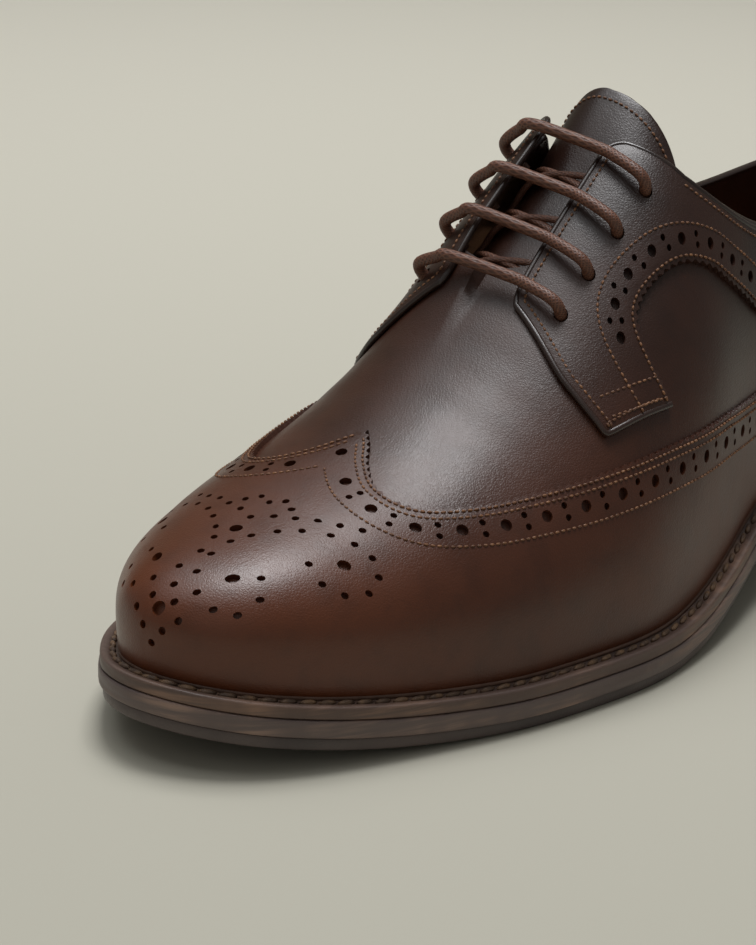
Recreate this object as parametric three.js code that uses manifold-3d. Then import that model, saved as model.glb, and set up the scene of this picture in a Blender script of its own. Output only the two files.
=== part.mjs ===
// A wing-tipped derby for the left foot: leather upper on a welted sole with a stacked heel.
// Millimetres, +Z up. The toe points to -Y and the outer side of the foot to +X.
// The origin lies on the floor under the middle of the heel.
import * as THREE from 'three';
import { mergeVertices } from 'three/addons/utils/BufferGeometryUtils.js';
import Module from 'manifold-3d';

const wasm = await Module();
wasm.setup();

// Driving sizes of the sole.
const BACK_Y = 38;
const TIP = { x: -1, y: -264 };
const TOE_SPRING = 9;
const SPRING_START_Y = -186;
const WAIST_START_Y = -150;
const WAIST_END_Y = -48;
const HEEL_LIFT = 20.6;
const OUTSOLE_THICKNESS = 2.7;
const MIDSOLE_THICKNESS = 3.9;
const WELT_THICKNESS = 2.8;
const WELT_WIDTH = 14;
const FIT_GAP = 0.3;
const TOP_PIECE_THICKNESS = 6;
const BREAST_Y = -36;
const INSOLE_THICKNESS = 2.4;
const INSOLE_INSET = 9;

// Driving sizes of the upper.
const WALL = 2;
const POLE_Y = -222;
const TOE_TURN = 45;
const HEEL_AXIS_Y = 4;
const HEEL_TURN = 50;
const HALF_GIRTH = 60;
const WIDEST_SPLIT = 0.74;
const THROAT_Y = -156;
const THROAT_HALF_GAP = 11.3;
const FACING_THICKNESS = 1.8;
const WING_THICKNESS = 1.2;
const BACKSTAY_THICKNESS = 1;
const BACKSTAY_HALF = 9;
const EYELET_RADIUS = 2.2;
const EYELET_ACROSS = 0.182;
const EYELET_STATIONS = [-119, -129.4, -139.7, -149.8];
const LACE_RADIUS = 1.4;
const TONGUE_THICKNESS = 1.6;
const TONGUE_GAP = 0.9;
const TONGUE_HALF = 0.2;
const INLAY = { halfWidth: 7, front: -92, back: -58, thickness: 0.9 };

const MIDSOLE_LIFT = OUTSOLE_THICKNESS + FIT_GAP;
const WELT_LIFT = MIDSOLE_LIFT + MIDSOLE_THICKNESS + FIT_GAP;
const FEATHER_LIFT = WELT_LIFT + WELT_THICKNESS + FIT_GAP;
const HEEL_END_Q = HEEL_AXIS_Y + HEEL_TURN;

// Outer edge of the welt: its reach to the lateral and the medial side at each y.
const SOLE_PLAN = [
  { y: 33.5, lateral: 15.5, medial: -15.5 },
  { y: 25, lateral: 25.5, medial: -25 },
  { y: 12, lateral: 32, medial: -31.5 },
  { y: -5, lateral: 35, medial: -34 },
  { y: -25, lateral: 35.8, medial: -33.5 },
  { y: -48, lateral: 36.5, medial: -30.5 },
  { y: -72, lateral: 39, medial: -28 },
  { y: -95, lateral: 43.5, medial: -28.5 },
  { y: -115, lateral: 49, medial: -32 },
  { y: -135, lateral: 53.5, medial: -37.5 },
  { y: -155, lateral: 55.5, medial: -43.5 },
  { y: -175, lateral: 53.5, medial: -47.5 },
  { y: -195, lateral: 49.5, medial: -47.5 },
  { y: -212, lateral: 43.8, medial: -44 },
  { y: -228, lateral: 37.5, medial: -37.8 },
  { y: -242, lateral: 30.5, medial: -30 },
  { y: -253, lateral: 22.5, medial: -21 },
  { y: -261, lateral: 11.5, medial: -11.5 },
];

// Cross-sections of the upper. ridge is the height of the top line and ridgeX its side shift, shoulder and wall
// are the fullness beside the top line and above the widest place, widest is that place's height above the welt,
// bulge is how far it stands out past the upper's foot, and inset how far that foot stands in from the welt edge.
const SECTIONS = [
  { y: 4, ridge: 129, ridgeX: 0, shoulder: 0.6, wall: 0.12, widest: 17, bulgeLateral: 2.5, bulgeMedial: 2.5, inset: 4.6 },
  { y: -35, ridge: 129, ridgeX: -0.5, shoulder: 0.58, wall: 0.15, widest: 17, bulgeLateral: 2.5, bulgeMedial: 3, inset: 4.8 },
  { y: -70, ridge: 128, ridgeX: -1.5, shoulder: 0.57, wall: 0.25, widest: 17, bulgeLateral: 2.5, bulgeMedial: 5, inset: 5.4 },
  { y: -95, ridge: 121, ridgeX: -2.5, shoulder: 0.62, wall: 0.36, widest: 17, bulgeLateral: 2, bulgeMedial: 6, inset: 5.6 },
  { y: -108, ridge: 114, ridgeX: -3, shoulder: 0.66, wall: 0.42, widest: 17, bulgeLateral: 1.6, bulgeMedial: 5, inset: 5.6 },
  { y: -120, ridge: 105.5, ridgeX: -3, shoulder: 0.68, wall: 0.45, widest: 17, bulgeLateral: 1.4, bulgeMedial: 4.4, inset: 5.6 },
  { y: -140, ridge: 89, ridgeX: -3, shoulder: 0.62, wall: 0.45, widest: 16, bulgeLateral: 1.2, bulgeMedial: 3, inset: 5.6 },
  { y: -160, ridge: 73.5, ridgeX: -2, shoulder: 0.6, wall: 0.46, widest: 15, bulgeLateral: 1, bulgeMedial: 2, inset: 5.6 },
  { y: -180, ridge: 61, ridgeX: 0, shoulder: 0.53, wall: 0.5, widest: 13, bulgeLateral: 1, bulgeMedial: 1.2, inset: 5.6 },
  { y: -200, ridge: 52, ridgeX: 0.8, shoulder: 0.53, wall: 0.53, widest: 12, bulgeLateral: 1, bulgeMedial: 1, inset: 5.6 },
  { y: -222, ridge: 45.5, ridgeX: 0.5, shoulder: 0.55, wall: 0.56, widest: 11, bulgeLateral: 1, bulgeMedial: 1, inset: 5.6 },
];
const TOE_CENTRE = { shoulder: 0.6, wall: 0.6, widest: 9.5, bulge: 1 };
const HEEL_CENTRE = { ridge: 130, shoulder: 0.68, wall: 0.1, widest: 20, bulge: 3 };

// Height of the collar's edge.
const COLLAR = [
  { y: 54, top: 91 },
  { y: 30, top: 88 },
  { y: 4, top: 83.5 },
  { y: -25, top: 81 },
  { y: -50, top: 81.5 },
  { y: -70, top: 84.5 },
  { y: -85, top: 88.5 },
  { y: -96, top: 93.5 },
  { y: -107, top: 101 },
  { y: -112.5, top: 107 },
  { y: -118, top: 114 },
];

const mix = (a, b, share) => a + (b - a) * share;
const clamp01 = (value) => Math.min(Math.max(value, 0), 1);
const smoothStep = (value) => clamp01(value) ** 2 * (3 - 2 * clamp01(value));

// Reads one column of a table at a place between its rows, with a smooth cubic through the rows.
function column(rows, name, at, key = 'y') {
  const sorted = [...rows].sort((a, b) => a[key] - b[key]);
  const last = sorted.length - 1;
  if (at <= sorted[0][key]) return sorted[0][name];
  if (at >= sorted[last][key]) return sorted[last][name];
  let i = 0;
  while (sorted[i + 1][key] < at) i += 1;
  const slope = (j) => {
    const before = sorted[Math.max(j - 1, 0)];
    const after = sorted[Math.min(j + 1, last)];
    return (after[name] - before[name]) / (after[key] - before[key]);
  };
  const span = sorted[i + 1][key] - sorted[i][key];
  const s = (at - sorted[i][key]) / span;
  return (
    (2 * s ** 3 - 3 * s ** 2 + 1) * sorted[i][name] +
    (s ** 3 - 2 * s ** 2 + s) * span * slope(i) +
    (3 * s ** 2 - 2 * s ** 3) * sorted[i + 1][name] +
    (s ** 3 - s ** 2) * span * slope(i + 1)
  );
}

// Straight-line look-up in a list of [key, value] pairs whose keys rise.
function lookUp(pairs, at) {
  let low = 0;
  let high = pairs.length - 1;
  while (high - low > 1) {
    const middle = (low + high) >> 1;
    if (pairs[middle][0] <= at) low = middle;
    else high = middle;
  }
  const share = (at - pairs[low][0]) / (pairs[high][0] - pairs[low][0]);
  return mix(pairs[low][1], pairs[high][1], share);
}

// Height of the sole's underside: flat under the ball, lifted at the toe and up to the heel.
function undersideZ(y) {
  const toe = clamp01((SPRING_START_Y - y) / (SPRING_START_Y - TIP.y));
  const waist = smoothStep((y - WAIST_START_Y) / (WAIST_END_Y - WAIST_START_Y));
  return TOE_SPRING * toe ** 2 + HEEL_LIFT * waist;
}

// The plan of the sole as one closed curve, from the back centre along the lateral side to the tip and back.
const planCurve = new THREE.CatmullRomCurve3(
  [
    new THREE.Vector3(0, BACK_Y, 0),
    ...SOLE_PLAN.map((row) => new THREE.Vector3(row.lateral, row.y, 0)),
    new THREE.Vector3(TIP.x, TIP.y, 0),
    ...[...SOLE_PLAN].reverse().map((row) => new THREE.Vector3(row.medial, row.y, 0)),
  ],
  true,
);

// One half of the plan, moved in by an inset that may change with y: points from back to tip, closer at the ends.
// Both halves have their points at the same y.
function planHalf(side, inset, count) {
  const fine = 400;
  const insetAt = typeof inset === 'function' ? inset : () => inset;
  const raw = [];
  for (let i = 0; i <= fine; i += 1) {
    const along = (0.5 * i) / fine;
    const place = side > 0 ? along : 1 - along;
    const point = planCurve.getPoint(place % 1);
    const tangent = planCurve.getTangent(place % 1);
    const inward = new THREE.Vector2(tangent.y, -tangent.x).multiplyScalar(insetAt(point.y));
    const end = i === 0 || i === fine;
    const x = end ? (i === 0 ? 0 : TIP.x) : point.x + inward.x;
    raw.push(new THREE.Vector2(x, point.y + inward.y));
  }
  const xByY = raw.map((point) => [-point.y, point.x]);
  const points = [];
  for (let k = 0; k <= count; k += 1) {
    const y = mix(raw[0].y, raw[fine].y, (1 - Math.cos((Math.PI * k) / count)) / 2);
    points.push(new THREE.Vector2(lookUp(xByY, -y), y));
  }
  return points;
}

// Makes one closed body of a list of corners and triangles, faces outward.
function body(corners, triangles) {
  let geometry = new THREE.BufferGeometry();
  geometry.setAttribute('position', new THREE.Float32BufferAttribute(corners.flat(), 3));
  geometry.setIndex(triangles.flat());
  geometry = mergeVertices(geometry, 1e-3);
  const index = [...geometry.index.array];
  const at = geometry.attributes.position;
  const kept = [];
  let volume = 0;
  const a = new THREE.Vector3();
  const b = new THREE.Vector3();
  const c = new THREE.Vector3();
  for (let i = 0; i < index.length; i += 3) {
    const [p, q, r] = index.slice(i, i + 3);
    if (p === q || q === r || r === p) continue;
    kept.push([p, q, r]);
    volume += a.fromBufferAttribute(at, p).dot(b.fromBufferAttribute(at, q).cross(c.fromBufferAttribute(at, r)));
  }
  geometry.setIndex((volume < 0 ? kept.map(([p, q, r]) => [p, r, q]) : kept).flat());
  return geometry;
}

const quad = (a, b, c, d) => [
  [a, b, c],
  [a, c, d],
];
// The same quad split along the same diagonal, facing the other way.
const quadBack = (a, b, c, d) => quad(a, d, c, b);

// A layer of the sole: rings from bottom to top, each with its inset from the welt edge and its lift above the
// underside, closed by a bottom and a top that follow the sole's curve.
function soleLayer(rings, count = 32) {
  const corners = [];
  const around = 2 * count;
  for (const ring of rings) {
    const lateral = planHalf(1, ring.inset, count);
    const medial = planHalf(-1, ring.inset, count);
    const loop = [...lateral, ...medial.slice(1, count).reverse()];
    for (const point of loop) corners.push([point.x, point.y, undersideZ(point.y) + ring.lift]);
  }
  const triangles = [];
  for (let r = 0; r < rings.length - 1; r += 1) {
    for (let i = 0; i < around; i += 1) {
      const j = (i + 1) % around;
      const base = r * around;
      triangles.push(...quad(base + i, base + j, base + around + j, base + around + i));
    }
  }
  const partner = (i) => (around - i) % around;
  for (const [base, turn] of [[0, true], [(rings.length - 1) * around, false]]) {
    for (let i = 0; i < count; i += 1) {
      const strip = [base + i, base + i + 1, base + partner(i + 1), base + partner(i)];
      if (turn) strip.reverse();
      triangles.push(...quad(...strip));
    }
  }
  return body(corners, triangles);
}

// A ring that runs round the sole's edge, from a closed profile of insets and lifts.
function soleRing(profile, count = 32) {
  const corners = [];
  const around = 2 * count;
  for (const point of profile) {
    const lateral = planHalf(1, point.inset, count);
    const medial = planHalf(-1, point.inset, count);
    const loop = [...lateral, ...medial.slice(1, count).reverse()];
    for (const place of loop) corners.push([place.x, place.y, undersideZ(place.y) + point.lift]);
  }
  const triangles = [];
  profile.forEach((_, r) => {
    const here = r * around;
    const next = ((r + 1) % profile.length) * around;
    for (let i = 0; i < around; i += 1) {
      const j = (i + 1) % around;
      triangles.push(...quad(here + i, here + j, next + j, next + i));
    }
  });
  return body(corners, triangles);
}

// The foot of the upper, in from the welt edge, as look-ups: reach by y, and reach by angle at toe and heel.
const poleX = column(SECTIONS, 'ridgeX', POLE_Y);
const insetAtY = (y) => column(SECTIONS, 'inset', y);
const FOOT = {};
for (const side of [1, -1]) {
  const points = planHalf(side, insetAtY, 600);
  const byY = points.map((p) => [-p.y, Math.abs(p.x)]).filter(([key]) => key > -HEEL_AXIS_Y - 8 && key < -POLE_Y + 8);
  const toe = points.filter((p) => p.y < POLE_Y + 12);
  const toeByAngle = toe.map((p) => [
    Math.atan2(POLE_Y - p.y, side * (p.x - poleX)),
    Math.hypot(p.x - poleX, p.y - POLE_Y),
  ]);
  const heel = points.filter((p) => p.y > HEEL_AXIS_Y - 12);
  const heelByAngle = heel.map((p) => [Math.atan2(p.y - HEEL_AXIS_Y, side * p.x), Math.hypot(p.x, p.y - HEEL_AXIS_Y)]);
  FOOT[side] = { byY, toeByAngle, heelByAngle: heelByAngle.reverse() };
}

const poleRow = (name) => column(SECTIONS, name, POLE_Y);
const axisRow = (name) => column(SECTIONS, name, HEEL_AXIS_Y);
const poleSlope = (column(SECTIONS, 'ridge', POLE_Y + 14) - column(SECTIONS, 'ridge', POLE_Y)) / 14;

// The half cross-section at one place: where it starts, where it heads, and the shape of its curve.
function sectionAt(side, q, turn) {
  const bulgeName = side > 0 ? 'bulgeLateral' : 'bulgeMedial';
  if (turn !== null && turn < Math.PI / 2) {
    const share = Math.cos(turn) ** 2;
    const foot = lookUp(FOOT[side].toeByAngle, Math.PI / 2 - turn);
    return {
      x: poleX,
      y: POLE_Y,
      dx: side * Math.sin(turn),
      dy: -Math.cos(turn),
      foot,
      widest: foot + mix(poleRow(bulgeName), TOE_CENTRE.bulge, share),
      footZ: undersideZ(POLE_Y - foot * Math.cos(turn)) + FEATHER_LIFT,
      rise: mix(poleRow('widest'), TOE_CENTRE.widest, share),
      ridge: poleRow('ridge'),
      slope: -poleSlope * Math.cos(turn),
      shoulder: mix(poleRow('shoulder'), TOE_CENTRE.shoulder, share),
      wall: mix(poleRow('wall'), TOE_CENTRE.wall, share),
    };
  }
  if (q > HEEL_AXIS_Y) {
    const angle = ((q - HEEL_AXIS_Y) / HEEL_TURN) * (Math.PI / 2);
    const share = Math.sin(angle) ** 2;
    const foot = lookUp(FOOT[side].heelByAngle, angle);
    return {
      x: 0,
      y: HEEL_AXIS_Y,
      dx: side * Math.cos(angle),
      dy: Math.sin(angle),
      foot,
      widest: foot + mix(axisRow(bulgeName), HEEL_CENTRE.bulge, share),
      footZ: undersideZ(HEEL_AXIS_Y + foot * Math.sin(angle)) + FEATHER_LIFT,
      rise: mix(axisRow('widest'), HEEL_CENTRE.widest, share),
      ridge: mix(axisRow('ridge'), HEEL_CENTRE.ridge, share),
      slope: 0,
      shoulder: mix(axisRow('shoulder'), HEEL_CENTRE.shoulder, share),
      wall: mix(axisRow('wall'), HEEL_CENTRE.wall, share),
    };
  }
  const row = (name) => column(SECTIONS, name, q);
  const foot = lookUp(FOOT[side].byY, -q) - side * row('ridgeX');
  return {
    x: row('ridgeX'),
    y: q,
    dx: side,
    dy: 0,
    foot,
    widest: foot + row(bulgeName),
    footZ: undersideZ(q) + FEATHER_LIFT,
    rise: row('widest'),
    ridge: row('ridge'),
    slope: 0,
    shoulder: row('shoulder'),
    wall: row('wall'),
  };
}

const cubic = (a, b, c, d, s) =>
  a * (1 - s) ** 3 + 3 * b * (1 - s) ** 2 * s + 3 * c * (1 - s) * s ** 2 + d * s ** 3;

// A point of the half cross-section, from the top line at 0 to the foot at 1.
function alongSection(section, t) {
  const { foot, widest, footZ, rise, ridge, slope, shoulder, wall } = section;
  const widestZ = footZ + rise;
  let reach;
  let z;
  if (t <= WIDEST_SPLIT) {
    const s = t / WIDEST_SPLIT;
    reach = cubic(0, shoulder * widest, widest, widest, s);
    z = cubic(ridge, ridge + slope * shoulder * widest, mix(widestZ, ridge, wall), widestZ, s);
  } else {
    const s = (t - WIDEST_SPLIT) / (1 - WIDEST_SPLIT);
    reach = cubic(widest, widest, mix(foot, widest, 0.5), foot, s);
    z = cubic(widestZ, mix(widestZ, footZ, 0.5), mix(widestZ, footZ, 0.85), footZ, s);
  }
  return { reach, z, x: section.x + section.dx * reach, y: section.y + section.dy * reach };
}

// The upper's own surface over its flat pattern. across runs from -1 at the medial foot over 0 at the top line to
// 1 at the lateral foot, and q runs along the shoe in y, on over the toe and round the heel.
function surface(across, q) {
  const side = across < 0 ? -1 : 1;
  if (q < POLE_Y) {
    const forward = (POLE_Y - q) / TOE_TURN;
    const turn = Math.atan2(Math.abs(across), forward);
    const point = alongSection(sectionAt(side, q, turn), Math.hypot(across, forward));
    return new THREE.Vector3(point.x, point.y, point.z);
  }
  const point = alongSection(sectionAt(side, q, null), Math.abs(across));
  return new THREE.Vector3(point.x, point.y, point.z);
}

// The empty facings spring open a little, more on the medial side.
const FLARE = { lateral: 0.8, medial: 5 };
function flareAt(across, q) {
  const most = across < 0 ? FLARE.medial : FLARE.lateral;
  const along = smoothStep((q + 168) / 30) * (1 - smoothStep((q + 112) / 34));
  return most * along * smoothStep((0.5 - Math.abs(across)) / 0.5);
}

// The same surface moved out along its normal, with the facings' spring or without it.
function raised(across, q, lift, spring = 1) {
  const stepAcross = 0.002;
  const stepQ = 0.1;
  const alongAcross = surface(across + stepAcross, q).sub(surface(across - stepAcross, q));
  const alongQ = surface(across, Math.min(q + stepQ, HEEL_END_Q)).sub(surface(across, q - stepQ));
  const normal = alongAcross.cross(alongQ).normalize();
  if (q === HEEL_END_Q) normal.setX(0).normalize();
  return surface(across, q).addScaledVector(normal, lift + spring * flareAt(across, q));
}

// The share of a half cross-section at which it reaches a given distance, or comes down to a given height.
function shareWhere(side, q, passed) {
  const section = sectionAt(side, q, null);
  let low = 0;
  let high = WIDEST_SPLIT;
  for (let i = 0; i < 30; i += 1) {
    const middle = (low + high) / 2;
    if (passed(alongSection(section, middle))) high = middle;
    else low = middle;
  }
  return high;
}

// The edge of the opening: the throat's gap in front, the collar behind.
function openingEdge(side, q) {
  if (q <= THROAT_Y) return 0;
  const gap = THROAT_HALF_GAP * Math.sqrt(clamp01((q - THROAT_Y) / 6));
  const throat = shareWhere(side, q, (point) => point.reach >= gap);
  const collar = shareWhere(side, q, (point) => point.z <= column(COLLAR, 'top', q));
  return Math.max(throat, collar);
}

// Columns round the whole upper: lateral side from the back, over the toe, and back along the medial side.
function bodyColumns(side, stations) {
  return stations.map((q) => ({ side, q, place: (t) => [side * t, q] }));
}
function toeColumns(turns) {
  return turns.map((turn) => ({
    side: Math.sign(turn) || 1,
    q: POLE_Y,
    toe: true,
    place: (t) => [t * Math.sin(turn), POLE_Y - TOE_TURN * t * Math.cos(turn)],
  }));
}
function steps(from, to, count) {
  return Array.from({ length: count + 1 }, (_, i) => mix(from, to, i / count));
}

const HEEL_STATIONS = steps(HEEL_END_Q, HEEL_AXIS_Y, 5);
const QUARTER_STATIONS = [...steps(HEEL_AXIS_Y - 14, -92, 5), ...steps(-103, THROAT_Y + 8, 5)];
const THROAT_STATIONS = [THROAT_Y + 4, THROAT_Y + 1.5, THROAT_Y];
const VAMP_STATIONS = steps(THROAT_Y - 8, POLE_Y, 6);
const SIDE_STATIONS = [...HEEL_STATIONS, ...QUARTER_STATIONS, ...THROAT_STATIONS, ...VAMP_STATIONS];
const TOE_TURNS = steps(77, -77, 10).map((degrees) => (degrees * Math.PI) / 180);
const ALL_COLUMNS = [
  ...bodyColumns(1, SIDE_STATIONS),
  ...toeColumns(TOE_TURNS),
  ...bodyColumns(-1, [...SIDE_STATIONS].reverse().slice(0, -1)),
];

const UPPER_ROWS = 9;

// The hollow wall: outer and inner faces, the rim of the opening, and the edge at the foot.
function makeUpper() {
  const corners = [];
  const triangles = [];
  const opening = ALL_COLUMNS.map((one) => (one.toe ? 0 : openingEdge(one.side, one.q)));
  const face = [0, -WALL].map((lift) => {
    const start = corners.length;
    ALL_COLUMNS.forEach((one, j) => {
      for (let k = 0; k <= UPPER_ROWS; k += 1) {
        const t = mix(1, opening[j], k / UPPER_ROWS);
        const point = raised(...one.place(t), lift);
        corners.push([point.x, point.y, point.z]);
      }
    });
    return start;
  });
  const rows = UPPER_ROWS + 1;
  const total = ALL_COLUMNS.length;
  for (let j = 0; j < total; j += 1) {
    const next = (j + 1) % total;
    for (let k = 0; k < UPPER_ROWS; k += 1) {
      const cell = [j * rows + k, next * rows + k, next * rows + k + 1, j * rows + k + 1];
      triangles.push(...quad(...cell.map((i) => face[0] + i)));
      triangles.push(...quadBack(...cell.map((i) => face[1] + i)));
    }
    const foot = [face[0] + next * rows, face[0] + j * rows, face[1] + j * rows, face[1] + next * rows];
    triangles.push(...quad(...foot));
    if (opening[j] > 0 || opening[next] > 0) {
      const top = [j * rows + UPPER_ROWS, next * rows + UPPER_ROWS];
      triangles.push(...quad(face[0] + top[0], face[0] + top[1], face[1] + top[1], face[1] + top[0]));
    }
  }
  return body(corners, triangles);
}

// A strip over the upper's surface between two heights, from edge to edge of a run of columns.
function surfaceStrip(columns, topEdge, footEdge, low, high, rowCount) {
  const corners = [];
  const triangles = [];
  const rows = rowCount + 1;
  const starts = [high, low].map((lift) => {
    const start = corners.length;
    for (const one of columns) {
      for (let k = 0; k <= rowCount; k += 1) {
        const t = mix(footEdge(one), topEdge(one), k / rowCount);
        const point = raised(...one.place(t), lift);
        corners.push([point.x, point.y, point.z]);
      }
    }
    return start;
  });
  const last = columns.length - 1;
  const at = (layer, j, k) => starts[layer] + j * rows + k;
  for (let j = 0; j < last; j += 1) {
    for (let k = 0; k < rowCount; k += 1) {
      triangles.push(...quad(at(0, j, k), at(0, j + 1, k), at(0, j + 1, k + 1), at(0, j, k + 1)));
      triangles.push(...quad(at(1, j, k + 1), at(1, j + 1, k + 1), at(1, j + 1, k), at(1, j, k)));
    }
    triangles.push(...quad(at(0, j + 1, 0), at(0, j, 0), at(1, j, 0), at(1, j + 1, 0)));
    triangles.push(...quad(at(0, j, rowCount), at(0, j + 1, rowCount), at(1, j + 1, rowCount), at(1, j, rowCount)));
  }
  for (let k = 0; k < rowCount; k += 1) {
    triangles.push(...quad(at(0, 0, k), at(0, 0, k + 1), at(1, 0, k + 1), at(1, 0, k)));
    triangles.push(...quad(at(0, last, k + 1), at(0, last, k), at(1, last, k), at(1, last, k + 1)));
  }
  return body(corners, triangles);
}

// Solids for joining and cutting.
function toSolid(geometry) {
  const bare = mergeVertices(stripped(geometry), 1e-4);
  return new wasm.Manifold(
    new wasm.Mesh({
      numProp: 3,
      vertProperties: new Float32Array(bare.attributes.position.array),
      triVerts: new Uint32Array(bare.index.array),
    }),
  );
}
function stripped(geometry) {
  const bare = geometry.clone();
  bare.deleteAttribute('normal');
  bare.deleteAttribute('uv');
  return bare;
}
function fromSolid(solid) {
  const mesh = solid.getMesh();
  const corners = [];
  for (let i = 0; i < mesh.vertProperties.length; i += mesh.numProp) {
    corners.push([...mesh.vertProperties.slice(i, i + 3)]);
  }
  const triangles = [];
  for (let i = 0; i < mesh.triVerts.length; i += 3) triangles.push([...mesh.triVerts.slice(i, i + 3)]);
  return body(corners, triangles);
}

// The flat pattern bends a little, so that a cut keeps all its corners.
const FLAT_THICKNESS = 4;
const flatBend = (x, y) => 0.002 * (x ** 2 + (y - POLE_Y) ** 2) + 0.003 * Math.abs(x) * (y - POLE_Y);

// The flat pattern over a run of columns, as a thin slab that shapes are cut from.
function patternSlab(columns, rowsOf) {
  const corners = [];
  const triangles = [];
  const rows = rowsOf(columns[0]).length;
  const starts = [1, 0].map((layer) => {
    const start = corners.length;
    for (const one of columns) {
      for (const t of rowsOf(one)) {
        const [across, q] = one.place(t);
        const x = across * HALF_GIRTH;
        corners.push([x, q, flatBend(x, q) + layer * FLAT_THICKNESS]);
      }
    }
    return start;
  });
  for (let j = 0; j < columns.length - 1; j += 1) {
    for (let k = 0; k < rows - 1; k += 1) {
      const cell = [(j + 1) * rows + k, (j + 1) * rows + k + 1, j * rows + k + 1, j * rows + k];
      triangles.push(...quad(...cell.map((i) => starts[0] + i)));
      triangles.push(...quadBack(...cell.map((i) => starts[1] + i)));
    }
  }
  const edge = (list) => {
    for (let i = 0; i < list.length - 1; i += 1) {
      const [here, next] = [list[i], list[i + 1]];
      triangles.push(...quad(starts[0] + next, starts[0] + here, starts[1] + here, starts[1] + next));
    }
  };
  const last = columns.length - 1;
  const closesOnTopLine = columns.every((one) => rowsOf(one)[0] === 0);
  edge(columns.map((_, j) => (last - j) * rows + rows - 1));
  if (!closesOnTopLine) edge(columns.map((_, j) => j * rows));
  edge(steps(rows - 1, 0, rows - 1));
  edge(steps(last * rows, last * rows + rows - 1, rows - 1));
  return body(corners, triangles);
}

// Carries flat points onto the upper through the facets of a run of columns, so that what is lasted there lies
// parallel to the upper's own facets.
function lastedFacets(columns, rowsOf, lifts) {
  const grid = columns.map((one) =>
    rowsOf(one).map((t) => {
      const [across, q] = one.place(t);
      return { flat: new THREE.Vector2(across * HALF_GIRTH, q), lasted: lifts.map((lift) => raised(across, q, lift)) };
    }),
  );
  const facets = [];
  for (let j = 0; j < grid.length - 1; j += 1) {
    for (let k = 0; k < grid[j].length - 1; k += 1) {
      const [a, b, c, d] = [grid[j + 1][k], grid[j + 1][k + 1], grid[j][k + 1], grid[j][k]];
      for (const corners of [[a, b, c], [a, c, d]]) {
        const [p, q, r] = corners.map((corner) => corner.flat);
        const area = (q.x - p.x) * (r.y - p.y) - (r.x - p.x) * (q.y - p.y);
        if (Math.abs(area) > 1e-6) facets.push({ p, q, r, area, corners });
      }
    }
  }
  return (x, y, layer) => {
    let best = null;
    for (const facet of facets) {
      const { p, q, r, area } = facet;
      const third = ((q.x - p.x) * (y - p.y) - (x - p.x) * (q.y - p.y)) / area;
      const second = ((x - p.x) * (r.y - p.y) - (r.x - p.x) * (y - p.y)) / area;
      const shares = [1 - second - third, second, third];
      const inside = Math.min(...shares);
      if (best === null || inside > best.inside) best = { inside, shares, facet };
    }
    const point = new THREE.Vector3();
    best.facet.corners.forEach((corner, i) => point.addScaledVector(corner.lasted[layer], best.shares[i]));
    return point;
  };
}

// Cuts an outline from the flat pattern and lasts it over the upper, between two heights above the surface.
function overlay(columns, rowsOf, outline, low, high) {
  const shape = new THREE.Shape(outline.map(([across, q]) => new THREE.Vector2(across * HALF_GIRTH, q)));
  const cutter = new THREE.ExtrudeGeometry(shape, { depth: 400, bevelEnabled: false });
  cutter.translate(0, 0, -60);
  const geometry = fromSolid(toSolid(patternSlab(columns, rowsOf)).intersect(toSolid(cutter)));
  const place = lastedFacets(columns, rowsOf, [low, high]);
  const at = geometry.attributes.position;
  for (let i = 0; i < at.count; i += 1) {
    const x = at.getX(i);
    const q = at.getY(i);
    const layer = Math.round((at.getZ(i) - flatBend(x, q)) / FLAT_THICKNESS);
    const point = place(x, q, layer);
    at.setXYZ(i, point.x, point.y, point.z);
  }
  return geometry;
}

// A smooth line through hand-set points of a pattern edge.
function smoothEdge(rows, divisions) {
  const curve = new THREE.SplineCurve(rows.map((row) => new THREE.Vector2(row.across * HALF_GIRTH, row.q)));
  return curve.getPoints(divisions).map((p) => [p.x / HALF_GIRTH, p.y]);
}

// Wing edge: from the peak on the top line, down into the hollow beside it and back along the side.
const WING_EDGE = [
  { across: 0, q: -192.8 },
  { across: 0.04, q: -196.6 },
  { across: 0.085, q: -201.4 },
  { across: 0.155, q: -205.6 },
  { across: 0.235, q: -205.8 },
  { across: 0.3, q: -202 },
  { across: 0.362, q: -192.5 },
  { across: 0.407, q: -181.8 },
  { across: 0.448, q: -169.9 },
  { across: 0.483, q: -157.2 },
  { across: 0.527, q: -141.5 },
  { across: 0.587, q: -121.5 },
  { across: 0.632, q: -98 },
  { across: 0.655, q: -65 },
  { across: 0.663, q: -30 },
  { across: 0.668, q: 10 },
  { across: 0.67, q: 50 },
];
const WING_END_Q = HEEL_END_Q - BACKSTAY_HALF - 1.2;
const OVERLAY_FOOT = 0.965;

function wingOutline() {
  const lateral = smoothEdge(WING_EDGE, 56).filter(([, q]) => q < WING_END_Q - 1);
  const endAcross = lateral[lateral.length - 1][0];
  const side = [...lateral, [endAcross, WING_END_Q], [1.2, WING_END_Q], [1.2, POLE_Y - TOE_TURN * 1.3]];
  return [...side, ...side.slice(1).map(([across, q]) => [-across, q]).reverse()];
}

const WING_HEEL_STATIONS = [WING_END_Q, ...HEEL_STATIONS.filter((q) => q < WING_END_Q - 3)];
const WING_SIDE_STATIONS = [...WING_HEEL_STATIONS, ...QUARTER_STATIONS, ...THROAT_STATIONS, ...VAMP_STATIONS];

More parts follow.
